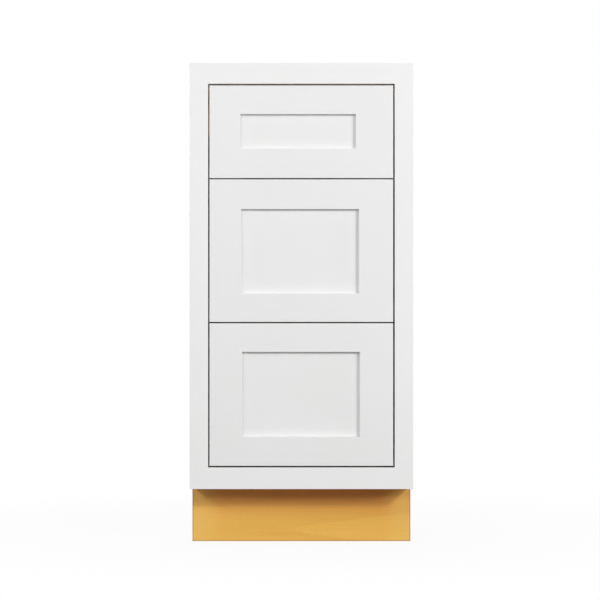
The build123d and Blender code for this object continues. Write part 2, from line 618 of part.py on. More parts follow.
def bottom_groove(drawer):
    """The groove that the box's bottom slides into, as one plate through all four walls."""
    x = BOX_INNER_X + BOX_GROOVE_DEPTH
    y0 = BOX_FRONT_Y + BOX_WALL - BOX_GROOVE_DEPTH
    y1 = BOX_BACK_Y - BOX_WALL + BOX_GROOVE_DEPTH
    z0 = box_z(drawer) + BOX_BOTTOM_RECESS
    return block(-x, x, y0, y1, z0, z0 + BOX_BOTTOM_THICKNESS)


def box_bottom(drawer):
    x = BOX_INNER_X + BOX_GROOVE_DEPTH - BOX_GROOVE_CLEARANCE
    margin = BOX_WALL - BOX_GROOVE_DEPTH + BOX_GROOVE_CLEARANCE
    z0 = box_z(drawer) + BOX_BOTTOM_RECESS
    return block(-x, x, BOX_FRONT_Y + margin, BOX_BACK_Y - margin, z0, z0 + BOX_BOTTOM_THICKNESS)


def box_side(side, drawer):
    z0 = box_z(drawer)
    z1 = z0 + box_height(drawer)
    wall = block(BOX_INNER_X, BOX_X, BOX_FRONT_Y + BOX_WALL, BOX_BACK_Y - BOX_WALL, z0, z1)
    for tail in front_tails(drawer) + rear_tails(drawer):
        wall += tail
    return on_side(side, wall - bottom_groove(drawer))


def box_end(drawer, y0, sockets):
    """The front or back wall of a box, with half-blind sockets for the sides' tails."""
    z0 = box_z(drawer)
    wall = block(-BOX_X, BOX_X, y0, y0 + BOX_WALL, z0, z0 + box_height(drawer))
    for socket in sockets:
        wall = drilled(wall, pair(socket))
    return wall - bottom_groove(drawer)


def box_front(drawer):
    wall = box_end(drawer, BOX_FRONT_Y, front_tails(drawer))
    for hole in front_screws(drawer, SCREW_HOLE_CLEARANCE) + clip_screws(drawer, SCREW_HOLE_CLEARANCE):
        wall = drilled(wall, pair(hole))
    return wall


def box_back(drawer):
    """The back wall, notched over the slides and bored for their hooks."""
    wall = box_end(drawer, BOX_BACK_Y - BOX_WALL, rear_tails(drawer))
    z0 = box_z(drawer)
    notch_x = inboard(CHANNEL_INNER_U + NOTCH_CLEARANCE)
    notch = block(notch_x, BOX_INNER_X, BOX_BACK_Y - BOX_WALL, BOX_BACK_Y, z0, z0 + BOX_BOTTOM_RECESS)
    mouth = (inboard(CHANNEL_MIDDLE_U), BOX_BACK_Y, z0 + HOOK_HEIGHT)
    bore = rod(mouth, (0, -1, 0), HOOK_RADIUS + HOOK_CLEARANCE, HOOK_LENGTH + HOOK_CLEARANCE)
    return drilled(wall, pair(notch) + pair(bore))


# ---------------------------------------------------------------- drawer fronts
def panel_space(drawer, play):
    """The recessed panel's own space, or with less play than the groove has, the groove around it."""
    reach = FRONT_GROOVE_DEPTH - play
    return block(
        FRONT_LEFT_X + drawer.left_stile - reach, FRONT_RIGHT_X - drawer.right_stile + reach,
        PANEL_FRONT_Y, PANEL_FRONT_Y + FRONT_PANEL_THICKNESS,
        drawer.front_z + drawer.lower_rail - reach,
        drawer.front_z + drawer.front_height - drawer.upper_rail + reach,
    )


def front_panel(drawer):
    return panel_space(drawer, FRONT_GROOVE_CLEARANCE)


def front_rail(drawer, z0, z1):
    """A rail with stub tenons that fill the stiles' grooves."""
    x0, x1 = FRONT_LEFT_X + drawer.left_stile, FRONT_RIGHT_X - drawer.right_stile
    rail = block(x0, x1, FRONT_Y, BOX_FRONT_Y, z0, z1)
    rail += block(
        x0 - FRONT_GROOVE_DEPTH, x1 + FRONT_GROOVE_DEPTH,
        PANEL_FRONT_Y, PANEL_FRONT_Y + FRONT_PANEL_THICKNESS, z0, z1,
    )
    return rail - panel_space(drawer, 0)


def front_stile(drawer, x0, x1):
    """A full-height stile, grooved along its inner edge."""
    z0, z1 = drawer.front_z, drawer.front_z + drawer.front_height
    stile = block(x0, x1, FRONT_Y, BOX_FRONT_Y, z0, z1)
    groove = block(
        FRONT_LEFT_X + drawer.left_stile - FRONT_GROOVE_DEPTH,
        FRONT_RIGHT_X - drawer.right_stile + FRONT_GROOVE_DEPTH,
        PANEL_FRONT_Y, PANEL_FRONT_Y + FRONT_PANEL_THICKNESS, z0, z1,
    )
    for hole in front_screws(drawer, SCREW_HOLE_CLEARANCE):
        stile = drilled(stile, pair(hole))
    return stile - groove


def front_stiles(drawer):
    return [
        front_stile(drawer, FRONT_LEFT_X, FRONT_LEFT_X + drawer.left_stile),
        front_stile(drawer, FRONT_RIGHT_X - drawer.right_stile, FRONT_RIGHT_X),
    ]


def front_rails(drawer):
    low, high = drawer.front_z, drawer.front_z + drawer.front_height
    lower = front_rail(drawer, low, low + drawer.lower_rail)
    upper = front_rail(drawer, high - drawer.upper_rail, high)
    return [lower, upper]


# ---------------------------------------------------------------- the whole cabinet
def save_cabinet():
    save("face_frame_left_stile", frame_stile(LEFT))
    save("face_frame_right_stile", frame_stile(RIGHT))
    save("face_frame_top_rail", frame_rail(OPENING_TOP, FRAME_TOP_RAIL_WIDTH))
    save("face_frame_bottom_rail", frame_rail(TOE_HEIGHT, FRAME_BOTTOM_RAIL_WIDTH))
    save("left_side_panel", side_panel(LEFT))
    save("right_side_panel", side_panel(RIGHT))
    save("bottom_panel", bottom_panel())
    save("back_panel", back_panel())
    save("top_hanging_rail", top_hanging_rail())
    save("bottom_hanging_rail", hanging_rail(FLOOR_UNDERSIDE))
    save("front_stretcher", front_stretcher(), stretcher_batten())
    save("rear_stretcher", rear_stretcher())
    save("toe_kick_board", toe_kick_board())
    save_for_each_slide("slide_spacers", slide_spacer)
    save_for_each_slide("cabinet_slide_rails", cabinet_rail)
    save_for_each_slide("soft_close_dampers", damper)
    save_screws("spacer_screws", [screw for drawer in DRAWERS for screw in spacer_screws(drawer)])
    save_screws("slide_screws", [screw for drawer in DRAWERS for screw in slide_screws(drawer)])


def save_for_each_slide(name, make):
    save(name, *[make(side, drawer) for drawer in DRAWERS for side in (LEFT, RIGHT)])


def save_screws(name, right_hand_screws):
    save(name, *[screw for right_hand in right_hand_screws for screw in pair(right_hand)])


def save_drawer(drawer):
    name = drawer.name
    save(f"{name}_slide_carriages", carriage(LEFT, drawer), carriage(RIGHT, drawer))
    save(f"{name}_drawer_rails", drawer_rail(LEFT, drawer), drawer_rail(RIGHT, drawer))
    save(f"{name}_release_clips", release_clip(LEFT, drawer), release_clip(RIGHT, drawer))
    save(f"{name}_left_release_lever", release_lever(LEFT, drawer))
    save(f"{name}_right_release_lever", release_lever(RIGHT, drawer))
    save(f"{name}_front_stiles", *front_stiles(drawer))
    save(f"{name}_front_rails", *front_rails(drawer))
    save(f"{name}_front_panel", front_panel(drawer))
    save(f"{name}_box_left_side", box_side(LEFT, drawer))
    save(f"{name}_box_right_side", box_side(RIGHT, drawer))
    save(f"{name}_box_front", box_front(drawer))
    save(f"{name}_box_back", box_back(drawer))
    save(f"{name}_box_bottom", box_bottom(drawer))
    save_screws(f"{name}_drawer_screws", front_screws(drawer) + clip_screws(drawer))


os.makedirs("parts", exist_ok=True)
save_cabinet()
for each_drawer in DRAWERS:
    save_drawer(each_drawer)
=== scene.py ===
# %% [markdown]
# # A face-framed base cabinet with three inset drawers
#
# The construction is already done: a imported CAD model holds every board, slide, clip and screw at
# its real size and in its real place. This lesson dresses it. Each piece gets a copy of its own
# shape with the small roundings that real edges have, and a finish that is built from nodes.
#
# The model is loaded first, and every piece is measured from it, in metres. The front faces -Y,
# and the origin is on the floor under the middle of the cabinet.

import json
import math
from collections import namedtuple

import bmesh
import bpy
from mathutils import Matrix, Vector


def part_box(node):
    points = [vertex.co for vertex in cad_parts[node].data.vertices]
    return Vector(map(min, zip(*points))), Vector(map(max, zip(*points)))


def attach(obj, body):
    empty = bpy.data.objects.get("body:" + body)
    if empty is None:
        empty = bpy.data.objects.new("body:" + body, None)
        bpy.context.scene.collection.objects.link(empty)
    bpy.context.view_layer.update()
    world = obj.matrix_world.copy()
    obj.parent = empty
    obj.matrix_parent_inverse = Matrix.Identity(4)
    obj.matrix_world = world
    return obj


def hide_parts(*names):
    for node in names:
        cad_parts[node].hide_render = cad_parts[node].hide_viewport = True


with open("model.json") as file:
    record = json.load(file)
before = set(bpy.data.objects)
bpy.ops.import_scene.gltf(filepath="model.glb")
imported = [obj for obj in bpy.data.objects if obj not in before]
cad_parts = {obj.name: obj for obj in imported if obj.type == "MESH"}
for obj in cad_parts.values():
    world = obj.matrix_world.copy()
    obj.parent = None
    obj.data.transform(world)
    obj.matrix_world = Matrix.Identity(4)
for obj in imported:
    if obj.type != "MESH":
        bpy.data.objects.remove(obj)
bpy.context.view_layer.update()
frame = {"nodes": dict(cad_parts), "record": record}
record = frame["record"]
body_of = {node: body for body, members in record["behaviour"]["bodies"].items() for node in members}
MM = 0.001
X, Y, Z = 0, 1, 2
DRAWERS = ("top", "middle", "bottom")

# %% [markdown]
# ## The camera
#
# The photograph is a plain front view. It was taken from a little over four metres away, level,
# and half way up the cabinet, so both the top edge and the toe kick are seen square on. A long
# lens from the same place gives the same faint perspective.

# %% Camera
CAMERA_PLACE = (-0.0026, -4.648, 0.4455)
CAMERA_LENS = 143.5  # in millimetres, as the sensor's width is
SENSOR_WIDTH = 36


def add_object(name, data):
    """A new object in the scene, at the origin, unturned and unscaled."""
    added = bpy.data.objects.new(name, data)
    bpy.context.scene.collection.objects.link(added)
    return added


camera = add_object("camera", bpy.data.cameras.new("camera"))
bpy.context.scene.camera = camera
camera.data.lens = CAMERA_LENS
camera.data.sensor_width = SENSOR_WIDTH
camera.location = CAMERA_PLACE
camera.rotation_euler = (math.pi / 2, 0, 0)
print("camera", [round(value, 3) for value in camera.location], "lens", CAMERA_LENS)

# %% [markdown]
# ## Writing nodes as sums
#
# A finish is a network of nodes, and most of its nodes are arithmetic. A small class wraps a
# socket, so that `1 - mask * 2` adds the Math nodes by itself.


# %% Sockets
class Socket:
    """The output of a node, with arithmetic that adds Math nodes."""

    def __init__(self, nodes, output):
        self.nodes = nodes
        self.output = output

    def math(self, operation, *others):
        return self.nodes.arithmetic(operation, self, *others)

    def __add__(self, other):
        return self.math("ADD", other)

    def __sub__(self, other):
        return self.math("SUBTRACT", other)

    def __rsub__(self, other):
        return self.nodes.arithmetic("SUBTRACT", other, self)

    def __mul__(self, other):
        return self.math("MULTIPLY", other)

    def __truediv__(self, other):
        return self.math("DIVIDE", other)

    def __abs__(self):
        return self.math("ABSOLUTE")

    __radd__ = __add__
    __rmul__ = __mul__

    def between(self, low, high):
        """0 at low and below, 1 at high and above, and smooth in between."""
        return self.nodes.add(
            "ShaderNodeMapRange", {"interpolation_type": "SMOOTHSTEP"},
            Value=self, From_Min=low, From_Max=high,
        )

    def part(self, name):
        """Another output of the same node."""
        return Socket(self.nodes, self.output.node.outputs[name])


print("sockets add, subtract, multiply and divide")

# %% [markdown]
# ## One method for every other node
#
# Every other node comes from one method, which takes the node's type, its settings and the values
# of its sockets. The settings come first, because some of them decide which sockets there are: a
# Mix node has other ones for colours than for numbers. A socket is found by its name, or by its
# identifier where several share a name. Materials and Geometry Nodes are both built with it.


# %% Nodes
class Nodes:
    """Adds nodes to one tree."""

    def __init__(self, tree):
        self.tree = tree

    def add(self, kind, settings=None, output=None, **values):
        """A node of one kind, and from it the output with a given name, or else the first."""
        node = self.tree.nodes.new(kind)
        for name, value in (settings or {}).items():
            setattr(node, name, value)
        for name, value in values.items():
            self.give(self.find(node.inputs, name), value)
        outputs = [each for each in node.outputs if each.enabled and output in (None, each.name)]
        return Socket(self, outputs[0]) if outputs else node

    def find(self, sockets, name):
        spaced = name.replace("_", " ")
        exact = [socket for socket in sockets if socket.identifier in (name, spaced)]
        return exact[0] if exact else sockets[spaced]

    def give(self, socket, value):
        """A link, several links or a plain value for an input."""
        if isinstance(value, (list, tuple)) and value and isinstance(value[0], Socket):
            for each in value:
                self.tree.links.new(each.output, socket)
        elif isinstance(value, Socket):
            self.tree.links.new(value.output, socket)
        else:
            socket.default_value = value

    def arithmetic(self, operation, *values):
        node = self.tree.nodes.new("ShaderNodeMath")
        node.operation = operation
        for socket, value in zip(node.inputs, values):
            self.give(socket, value)
        return Socket(self, node.outputs[0])

    def scaled(self, vector, factors):
        """A vector whose three parts are each multiplied by a factor."""
        return self.add(
            "ShaderNodeVectorMath", {"operation": "MULTIPLY"}, Vector=vector, Vector_001=factors,
        )

    def mix(self, factor, one, other, blend="MIX"):
        """A colour between two."""
        return self.add(
            "ShaderNodeMix", {"data_type": "RGBA", "blend_type": blend},
            Factor_Float=factor, A_Color=one, B_Color=other,
        )

    def noise(self, vector, scale, detail=2.0, roughness=0.5):
        """A noise with its scale in waves per metre."""
        return self.add(
            "ShaderNodeTexNoise", Vector=vector, Scale=scale, Detail=detail, Roughness=roughness,
        )


print("nodes are added by type, settings and sockets")

# %% [markdown]
# ## How a finish starts and ends
#
# Every finish starts from the place of a point in its object's own metres. So a pattern has its
# real size on a long board and on a short one, and it stays on its board when a drawer moves. And
# every finish ends in one shader, where a pattern changes the colour, the roughness or the bump.


# %% Materials
def new_material(name):
    """A material with an empty tree, and the place of the surface in the object's own metres."""
    material = bpy.data.materials.new(name)
    material.use_nodes = True
    material.node_tree.nodes.clear()
    nodes = Nodes(material.node_tree)
    place = nodes.add("ShaderNodeTexCoord", output="Object")
    return material, nodes, place


def surface(nodes, colour, roughness, height, depth, metallic=0.0, shine=0.5):
    """Ends a material: its colour, its roughness, and a bump of the given depth in metres."""
    shader = nodes.add(
        "ShaderNodeBsdfPrincipled", Base_Color=colour, Roughness=roughness, Metallic=metallic,
        Specular_IOR_Level=shine,
        Normal=nodes.add("ShaderNodeBump", Strength=1.0, Distance=depth, Height=height),
    )
    nodes.add("ShaderNodeOutputMaterial", Surface=shader)


def dimmed(colour, share):
    """A colour with a share of its light."""
    return tuple(share * part for part in colour[:3]) + (1,)


print("materials start from a place and end in a surface")

# %% [markdown]
# ## White paint
#
# The face frame and the drawer fronts are hardwood under a sprayed, satin white. Such a coat has
# almost no pattern, which is why it is easy to get wrong: one flat colour looks like plastic. The
# colour drifts by a percent or two over a hand's breadth, the gloss drifts with it, and the spray
# leaves a faint orange peel about two millimetres across. Where a rail meets a stile the paint
# bridges the joint, and a line as fine as a hair shows in a raking light.

# %% White paint
FRAME_WHITE = (0.872, 0.872, 0.872, 1)
FRONT_WHITE = (0.840, 0.840, 0.840, 1)
CREAMIER = (0.985, 0.983, 0.978, 1)  # what a thicker coat multiplies the white by
THICKER = (0.35, 0.7)  # values of the drift between which the coat gets thicker
PAINT_ROUGHNESS = 0.40  # the least, as in every finish below: a pattern adds to it
PAINT_DRIFT = 0.1
DRIFT_SCALE = 5.0  # waves per metre, as the peel's
PEEL_SCALE = 480.0
PEEL_DEPTH = 0.012 * MM
HAIRLINE_HALF = 0.16 * MM
HAIRLINE_DEPTH = 3  # times that of the peel


def white_paint(name, white, joints=()):
    """Sprayed satin paint; joints are the places in X of the hairlines between rails and stiles."""
    material, nodes, place = new_material(name)
    drift = nodes.noise(place, DRIFT_SCALE, detail=3.0)
    height = nodes.noise(place, PEEL_SCALE, roughness=0.4)
    across = nodes.add("ShaderNodeSeparateXYZ", Vector=place)
    for joint in joints:
        hairline = 1 - abs(across - joint).between(0.0, HAIRLINE_HALF)
        height = height - HAIRLINE_DEPTH * hairline
    colour = nodes.mix(drift.between(*THICKER), white, CREAMIER, "MULTIPLY")
    surface(nodes, colour, PAINT_ROUGHNESS + PAINT_DRIFT * drift, height, PEEL_DEPTH)
    return material


print("frame", FRAME_WHITE[:3], "fronts", FRONT_WHITE[:3])

# %% [markdown]
# ## Maple along its grain
#
# The carcass is maple plywood, and the drawer boxes are solid maple. Both show the same things:
# growth rings cut lengthwise, which give long, tapering loops; fine fibres along the grain; and
# short dark flecks. A noise that is stretched along the grain gives the loops if its value is cut
# into even steps, because lines of equal value never cross. A second and a third noise, stretched
# further, give the fibres and the flecks, and a broad fourth one darkens some parts of a board.

# %% Maple along its grain
MAPLE = ((0.70, 0.490, 0.270, 1), (0.565, 0.352, 0.160, 1))  # its light wood and its dark wood
LOOPS_ALONG = 0.9  # waves per metre along the grain, of the noise that is cut into rings
FIBRES = (620, 7)  # waves per metre across the grain and along it, as all such pairs are
FLECKS = (1500, 110)
PATCHES = (6, 1.5)
RING_DARKENS = (0.25, 0.96)  # the shares of its width between which a ring gets darker
RING_ENDS = (0.965, 1.0)  # and those between which it is suddenly light again
RING_SHARE = 0.34  # what each pattern adds to the darkening
FIBRE_SHARE = 0.42
PATCH_SHARE = 0.3
FLECK_VALUES = (0.64, 0.74)  # only the highest ones, so that flecks are few
FLECK_SHARE = 0.28
FLECK_LIGHT = 0.6  # of the dark wood's
LACQUER_ROUGHNESS = 0.36
FIBRE_DEPTH = 0.03 * MM


def along_grain(grain, across, along):
    """A number for each axis: one along the grain, the other across it."""
    return tuple(along if axis == grain else across for axis in (X, Y, Z))


def grained(nodes, place, grain, waves, detail=2.0, roughness=0.5):
    """A noise stretched along the grain."""
    return nodes.noise(nodes.scaled(place, along_grain(grain, *waves)), 1.0, detail, roughness)


def maple(name, grain, wood, rings=7.0, spread=9.0, shine=0.5, painted_shading=None):
    """Lengthwise maple: more rings give more loops, and a greater spread makes them narrower."""
    light, dark = wood
    material, nodes, place = new_material(name)
    field = grained(nodes, place, grain, (spread, LOOPS_ALONG), detail=1.5, roughness=0.45)
    ring = (field * rings).math("FRACT")
    late_wood = ring.between(*RING_DARKENS) * (1 - ring.between(*RING_ENDS))
    fibres = grained(nodes, place, grain, FIBRES, detail=3.0, roughness=0.6)
    flecks = grained(nodes, place, grain, FLECKS, detail=1.0)
    patches = grained(nodes, place, grain, PATCHES)
    # The values of a noise seldom leave 0.3 to 0.7, so that range is spread over 0 to 1.
    depth = RING_SHARE * late_wood + FIBRE_SHARE * fibres.between(0.3, 0.75)
    depth = depth + PATCH_SHARE * patches.between(0.3, 0.7)
    colour = nodes.mix(depth, light, dark)
    fleck = FLECK_SHARE * flecks.between(*FLECK_VALUES)
    colour = nodes.mix(fleck, colour, dimmed(dark, FLECK_LIGHT))
    # A given function may add painted shade and light to the colour here.
    if painted_shading:
        colour = painted_shading(nodes, place, colour)
    roughness = LACQUER_ROUGHNESS + 0.12 * fibres
    surface(nodes, colour, roughness, fibres, FIBRE_DEPTH, shine=shine)
    return material


print("maple, with fibres", round(1 / FIBRES[0] / MM, 1), "mm apart")

# %% [markdown]
# ## End grain and plies
#
# A board shows its end grain on the faces that the saw cut across: arcs of growth rings and open
# pores. Plywood shows its plies on every edge, each turned against the next, with a dark line of
# glue between them. Those faces get materials of their own, chosen by the direction that a face
# points. Both cuts drink more lacquer than a face does, so they are darker and less glossy.

# %% End grain and plies
END_GRAIN_LIGHT = 0.76  # of the light of the same wood along its grain
PITH_AWAY = 0.31  # metres from the origin, on both axes across the grain
RINGS_PER_METRE = 380
RING_WOBBLE = 4 * MM
RING_WOBBLE_WAVES = 40  # per metre
END_GRAIN_ROUGHNESS = 0.55
PORES = (1800, 200)
PORE_DEPTH = 0.04 * MM
STREAKS = (260, 2200)  # across the stack of plies and along it
STREAK_DEPTH = 0.05 * MM
PLY_ROUGHNESS = 0.62
PLY_WOBBLE_WAVES = 30  # per metre
PLY_WOBBLE = 0.18  # of a ply's thickness
GLUE_LINE = (0.40, 0.47)  # away from the middle of a ply, as a share of its thickness
NEXT_PLY = (0.46, 0.54)  # of two plies' thickness: where the first gives way to the second
GLUE_SHARE = 0.55
GLUE_LIGHT = 0.42  # of the dark wood's


def end_grain(name, grain, wood):
    """The sawn end of a board: arcs of growth rings round a pith well outside the board."""
    material, nodes, place = new_material(name)
    flat = nodes.scaled(place, along_grain(grain, 1, 0))
    pith = along_grain(grain, PITH_AWAY, 0)
    away = nodes.add(
        "ShaderNodeVectorMath", {"operation": "DISTANCE"}, Vector=flat, Vector_001=pith,
    )
    wobble = nodes.noise(flat, RING_WOBBLE_WAVES)
    ring = ((away + RING_WOBBLE * wobble) * RINGS_PER_METRE).math("FRACT")
    pores = grained(nodes, place, grain, PORES, detail=1.0)
    depth = 0.3 + 0.4 * ring.between(0.2, 0.95) + 0.3 * pores.between(0.4, 0.7)
    colour = nodes.mix(depth, *(dimmed(part, END_GRAIN_LIGHT) for part in wood))
    surface(nodes, colour, END_GRAIN_ROUGHNESS + 0.1 * pores, pores, PORE_DEPTH)
    return material


def plies(name, axis, low, thickness, count, wood):
    """The edge of plywood: plies stacked along an axis from low, every other one end grain."""
    light, dark = wood
    material, nodes, place = new_material(name)
    along = nodes.add("ShaderNodeSeparateXYZ", output="XYZ"[axis], Vector=place)
    if axis == X:
        along = abs(along)  # the cabinet's two sides mirror each other
    wobble = nodes.noise(place, PLY_WOBBLE_WAVES) - 0.5
    layer = (along - low) / thickness * count + PLY_WOBBLE * wobble
    on_end = (layer * 0.5).math("FRACT").between(*NEXT_PLY)
    glue = abs(layer.math("FRACT") - 0.5).between(*GLUE_LINE)
    streaks = grained(nodes, place, axis, STREAKS)
    streaked = streaks.between(0.35, 0.7) * (0.4 + 0.6 * on_end)
    colour = nodes.mix(0.15 + 0.55 * on_end + 0.4 * streaked, light, dark)
    colour = nodes.mix(GLUE_SHARE * glue, colour, dimmed(dark, GLUE_LIGHT))
    surface(nodes, colour, PLY_ROUGHNESS + 0.1 * streaks, streaks, STREAK_DEPTH)
    return material


print("end grain, with rings", round(1 / RINGS_PER_METRE / MM, 1), "mm apart, and plies")

# %% [markdown]
# ## Zinc and moulded plastic
#
# The slides are folded from zinc-plated sheet: bright, a little blue, with a faint mottle where the
# plating crystals grew and fine lines along the way the sheet was rolled. The screws are plated
# the same way. Clips and levers are moulded in nylon, which is matt and slightly mottled.

# %% Metal and plastic
ZINC = (0.69, 0.705, 0.725, 1)
ZINC_DULL = (0.63, 0.647, 0.67, 1)
ZINC_ROUGHNESS = 0.31
CRYSTALS = 60  # waves per metre
ROLLING_LINES = (2400, 12)
ROLLING_DEPTH = 0.006 * MM
NYLON_ROUGHNESS = 0.46
NYLON_MOTTLE = 160  # waves per metre
MOULD_TEXTURE = 2600
MOULD_DEPTH = 0.02 * MM
MOTTLE_LIGHT = 0.86  # of the plain colour's


def zinc(name):
    """Bright zinc plating on sheet that was rolled from front to back."""
    material, nodes, place = new_material(name)
    mottle = nodes.noise(place, CRYSTALS)
    lines = grained(nodes, place, Y, ROLLING_LINES)
    colour = nodes.mix(0.5 * mottle + 0.5 * lines, ZINC, ZINC_DULL)
    roughness = ZINC_ROUGHNESS + 0.06 * mottle + 0.08 * lines
    surface(nodes, colour, roughness, lines, ROLLING_DEPTH, metallic=1.0)
    return material


def moulded(name, colour):
    """Matt nylon in one colour, with the fine texture of its mould."""
    material, nodes, place = new_material(name)
    mottle = nodes.noise(place, NYLON_MOTTLE)
    texture = nodes.noise(place, MOULD_TEXTURE, detail=1.0)
    mottled = nodes.mix(mottle, colour, dimmed(colour, MOTTLE_LIGHT))
    surface(nodes, mottled, NYLON_ROUGHNESS + 0.12 * mottle, texture, MOULD_DEPTH)
    return material


print("metal and plastic are ready")

# %% [markdown]
# ## Whole shapes from CAD pieces
#
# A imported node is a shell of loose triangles. Its copy is welded, and triangles that lie in one
# plane become one face, so that what is left are the edges of the real board. Boards that are
# glued and painted over are united as well.

# %% Welding and joining
WELD = 0.01 * MM
ONE_PLANE = math.radians(0.5)


def tidy_faces(mesh):
    """Merges doubled points and joins triangles that lie in one plane."""
    shape = bmesh.new()
    shape.from_mesh(mesh)
    bmesh.ops.remove_doubles(shape, verts=shape.verts, dist=WELD)
    bmesh.ops.dissolve_limit(shape, angle_limit=ONE_PLANE, verts=shape.verts, edges=shape.edges)
    shape.to_mesh(mesh)
    shape.free()


def welded(node):
    """A closed mesh from a CAD node's loose triangles."""
    mesh = frame["nodes"][node].data.copy()
    mesh.materials.clear()
    tidy_faces(mesh)
    return mesh


def applied(piece):
    """A plain mesh of a piece, as its modifiers leave it."""
    graph = bpy.context.evaluated_depsgraph_get()
    return bpy.data.meshes.new_from_object(piece.evaluated_get(graph))


def joined(node_names):
    """One closed mesh of several touching CAD nodes, as paint makes of glued boards."""
    first, *others = [add_object("joining", welded(node)) for node in node_names]
    for other in others:
        union = first.modifiers.new("union", "BOOLEAN")
        union.operation = "UNION"
        union.solver = "EXACT"
        union.object = other
    mesh = applied(first)
    for piece in (first, *others):
        bpy.data.objects.remove(piece)
    tidy_faces(mesh)
    return mesh


print("shapes are welded and joined")

# %% [markdown]
# ## Eased edges
#
# No real edge is sharp, and the thin highlight on its rounding is what makes a board look solid.
# Each sharp edge is given a bevel weight, and one Bevel modifier rounds the edges by their weight,
# so the rim of a drawer can be rounder than its dovetails. Rims of screw holes stay crisp. A
# Weighted Normal modifier then lets the large faces rule the shading, so that a board looks flat
# up to the start of its rounding, and only the rounding catches the light.

# %% Easing and placing
SHARP = math.radians(30)
SHORT_EDGE = 2.5 * MM  # the sides of a round hole are shorter than this
EASE_STEPS = 2
LARGE_FACES_RULE = 100  # the most that a Weighted Normal modifier takes


def weigh_edges(mesh, weight_of):
    """Gives each sharp edge a bevel weight, and marks the sharp edges that get none."""
    shape = bmesh.new()
    shape.from_mesh(mesh)
    layer = shape.edges.layers.float.new("bevel_weight_edge")
    for edge in shape.edges:
        if edge.calc_face_angle(0) < SHARP:
            continue
        middle = (edge.verts[0].co + edge.verts[1].co) / 2
        edge[layer] = weight_of(middle) if edge.calc_length() > SHORT_EDGE else 0
        edge.smooth = edge[layer] > 0
    shape.to_mesh(mesh)
    shape.free()
    mesh.polygons.foreach_set("use_smooth", [True] * len(mesh.polygons))


def ride_with(piece, node):
    """The piece moves with a CAD node, on the node's body."""
    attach(piece, body_of[node])


def placed(name, mesh, materials, node_names, ease, weight_of=lambda middle: 1.0, facing=None):
    """A finished piece in the place of its CAD nodes, on their body.

    facing tells which of the materials a face gets, and weight_of how much of the easing an edge
    gets, by its middle.
    """
    for material in materials:
        mesh.materials.append(material)
    if facing:
        for polygon in mesh.polygons:
            polygon.material_index = facing(polygon)
    weigh_edges(mesh, weight_of)
    piece = add_object(name, mesh)
    eased = piece.modifiers.new("eased edges", "BEVEL")
    eased.limit_method = "WEIGHT"
    eased.width = ease
    eased.segments = EASE_STEPS
    flat = piece.modifiers.new("flat faces", "WEIGHTED_NORMAL")
    flat.weight = LARGE_FACES_RULE
    flat.keep_sharp = True
    ride_with(piece, node_names[0])
    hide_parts(*node_names)


def dressed(name, node, material, ease):
    """One CAD node in one material, with its edges eased."""
    placed(name, welded(node), [material], [node], ease)


def looks_along(face, axis):
    """Whether a face looks along an axis, either way."""
    return abs(face.normal[axis]) > 0.5


print("edges over", round(math.degrees(SHARP)), "degrees are eased")

# %% [markdown]
# ## The painted face frame and drawer fronts
#
# Rails and stiles are separate boards, but they are glued, sanded flush and sprayed as one. So
# their shapes are united before their edges are eased: a bevel on each board would cut a groove
# along every joint. The recessed panel floats in its groove and stays a piece of its own, which
# leaves a fine dark line all round it.

# %% Face frame and drawer fronts
FRAME_EASE = 0.5 * MM
FRONT_EASE = 0.6 * MM
FACE_TOLERANCE = 0.1 * MM
FRAME_BOARDS = ("left_stile", "top_rail", "right_stile", "bottom_rail")


def ends_of_rails(node):
    """Where the rails' front faces end, left and right: the lines of their joints."""
    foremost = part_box(node)[0][Y] + FACE_TOLERANCE
    points = [point.co for point in frame["nodes"][node].data.vertices]
    across = [point.x for point in points if point.y < foremost]
    return min(across), max(across)


frame_nodes = [f"face_frame_{board}" for board in FRAME_BOARDS]
frame_paint = white_paint("paint_face_frame", FRAME_WHITE, ends_of_rails("face_frame_top_rail"))
placed("face_frame", joined(frame_nodes), [frame_paint], frame_nodes, FRAME_EASE)
print("face frame of", len(frame_nodes), "boards")

panel_paint = white_paint("paint_panels", FRONT_WHITE)
for drawer in DRAWERS:
    front_nodes = [f"{drawer}_front_stiles", f"{drawer}_front_rails"]
    joints = ends_of_rails(front_nodes[1])
    front_paint = white_paint(f"paint_{drawer}_front", FRONT_WHITE, joints)
    placed(f"{drawer}_drawer_front", joined(front_nodes), [front_paint], front_nodes, FRONT_EASE)
    dressed(f"{drawer}_recessed_panel", f"{drawer}_front_panel", panel_paint, FRONT_EASE)
    print(drawer, "front, joints at", [round(joint / MM, 1) for joint in joints], "mm")

# %% [markdown]
# ## The plywood carcass
#
# Sides, bottom, back, stretchers and hanging rails are cut from maple plywood. The outsides of the
# sides are sprayed white with the frame, and everything inside keeps its clear lacquer. The front
# stretcher is stiffened by a batten of solid maple on edge, glued under it: its plywood is as
# thick as that of the rear one, and the edges below it are plain maple.

# %% Carcass boards
BOARD_EASE = 0.25 * MM
PLY = 1.35 * MM  # usual thickness of one ply
CARCASS_BOARDS = (  # each with the axis of its thickness and that of its grain
    ("bottom_panel", Z, Y),
    ("back_panel", Y, Z),
    ("top_hanging_rail", Y, X),
    ("bottom_hanging_rail", Y, X),
    ("rear_stretcher", Z, X),
)
VENEER, EDGE, OUTSIDE = 0, 1, 2  # the numbers of a plywood board's materials


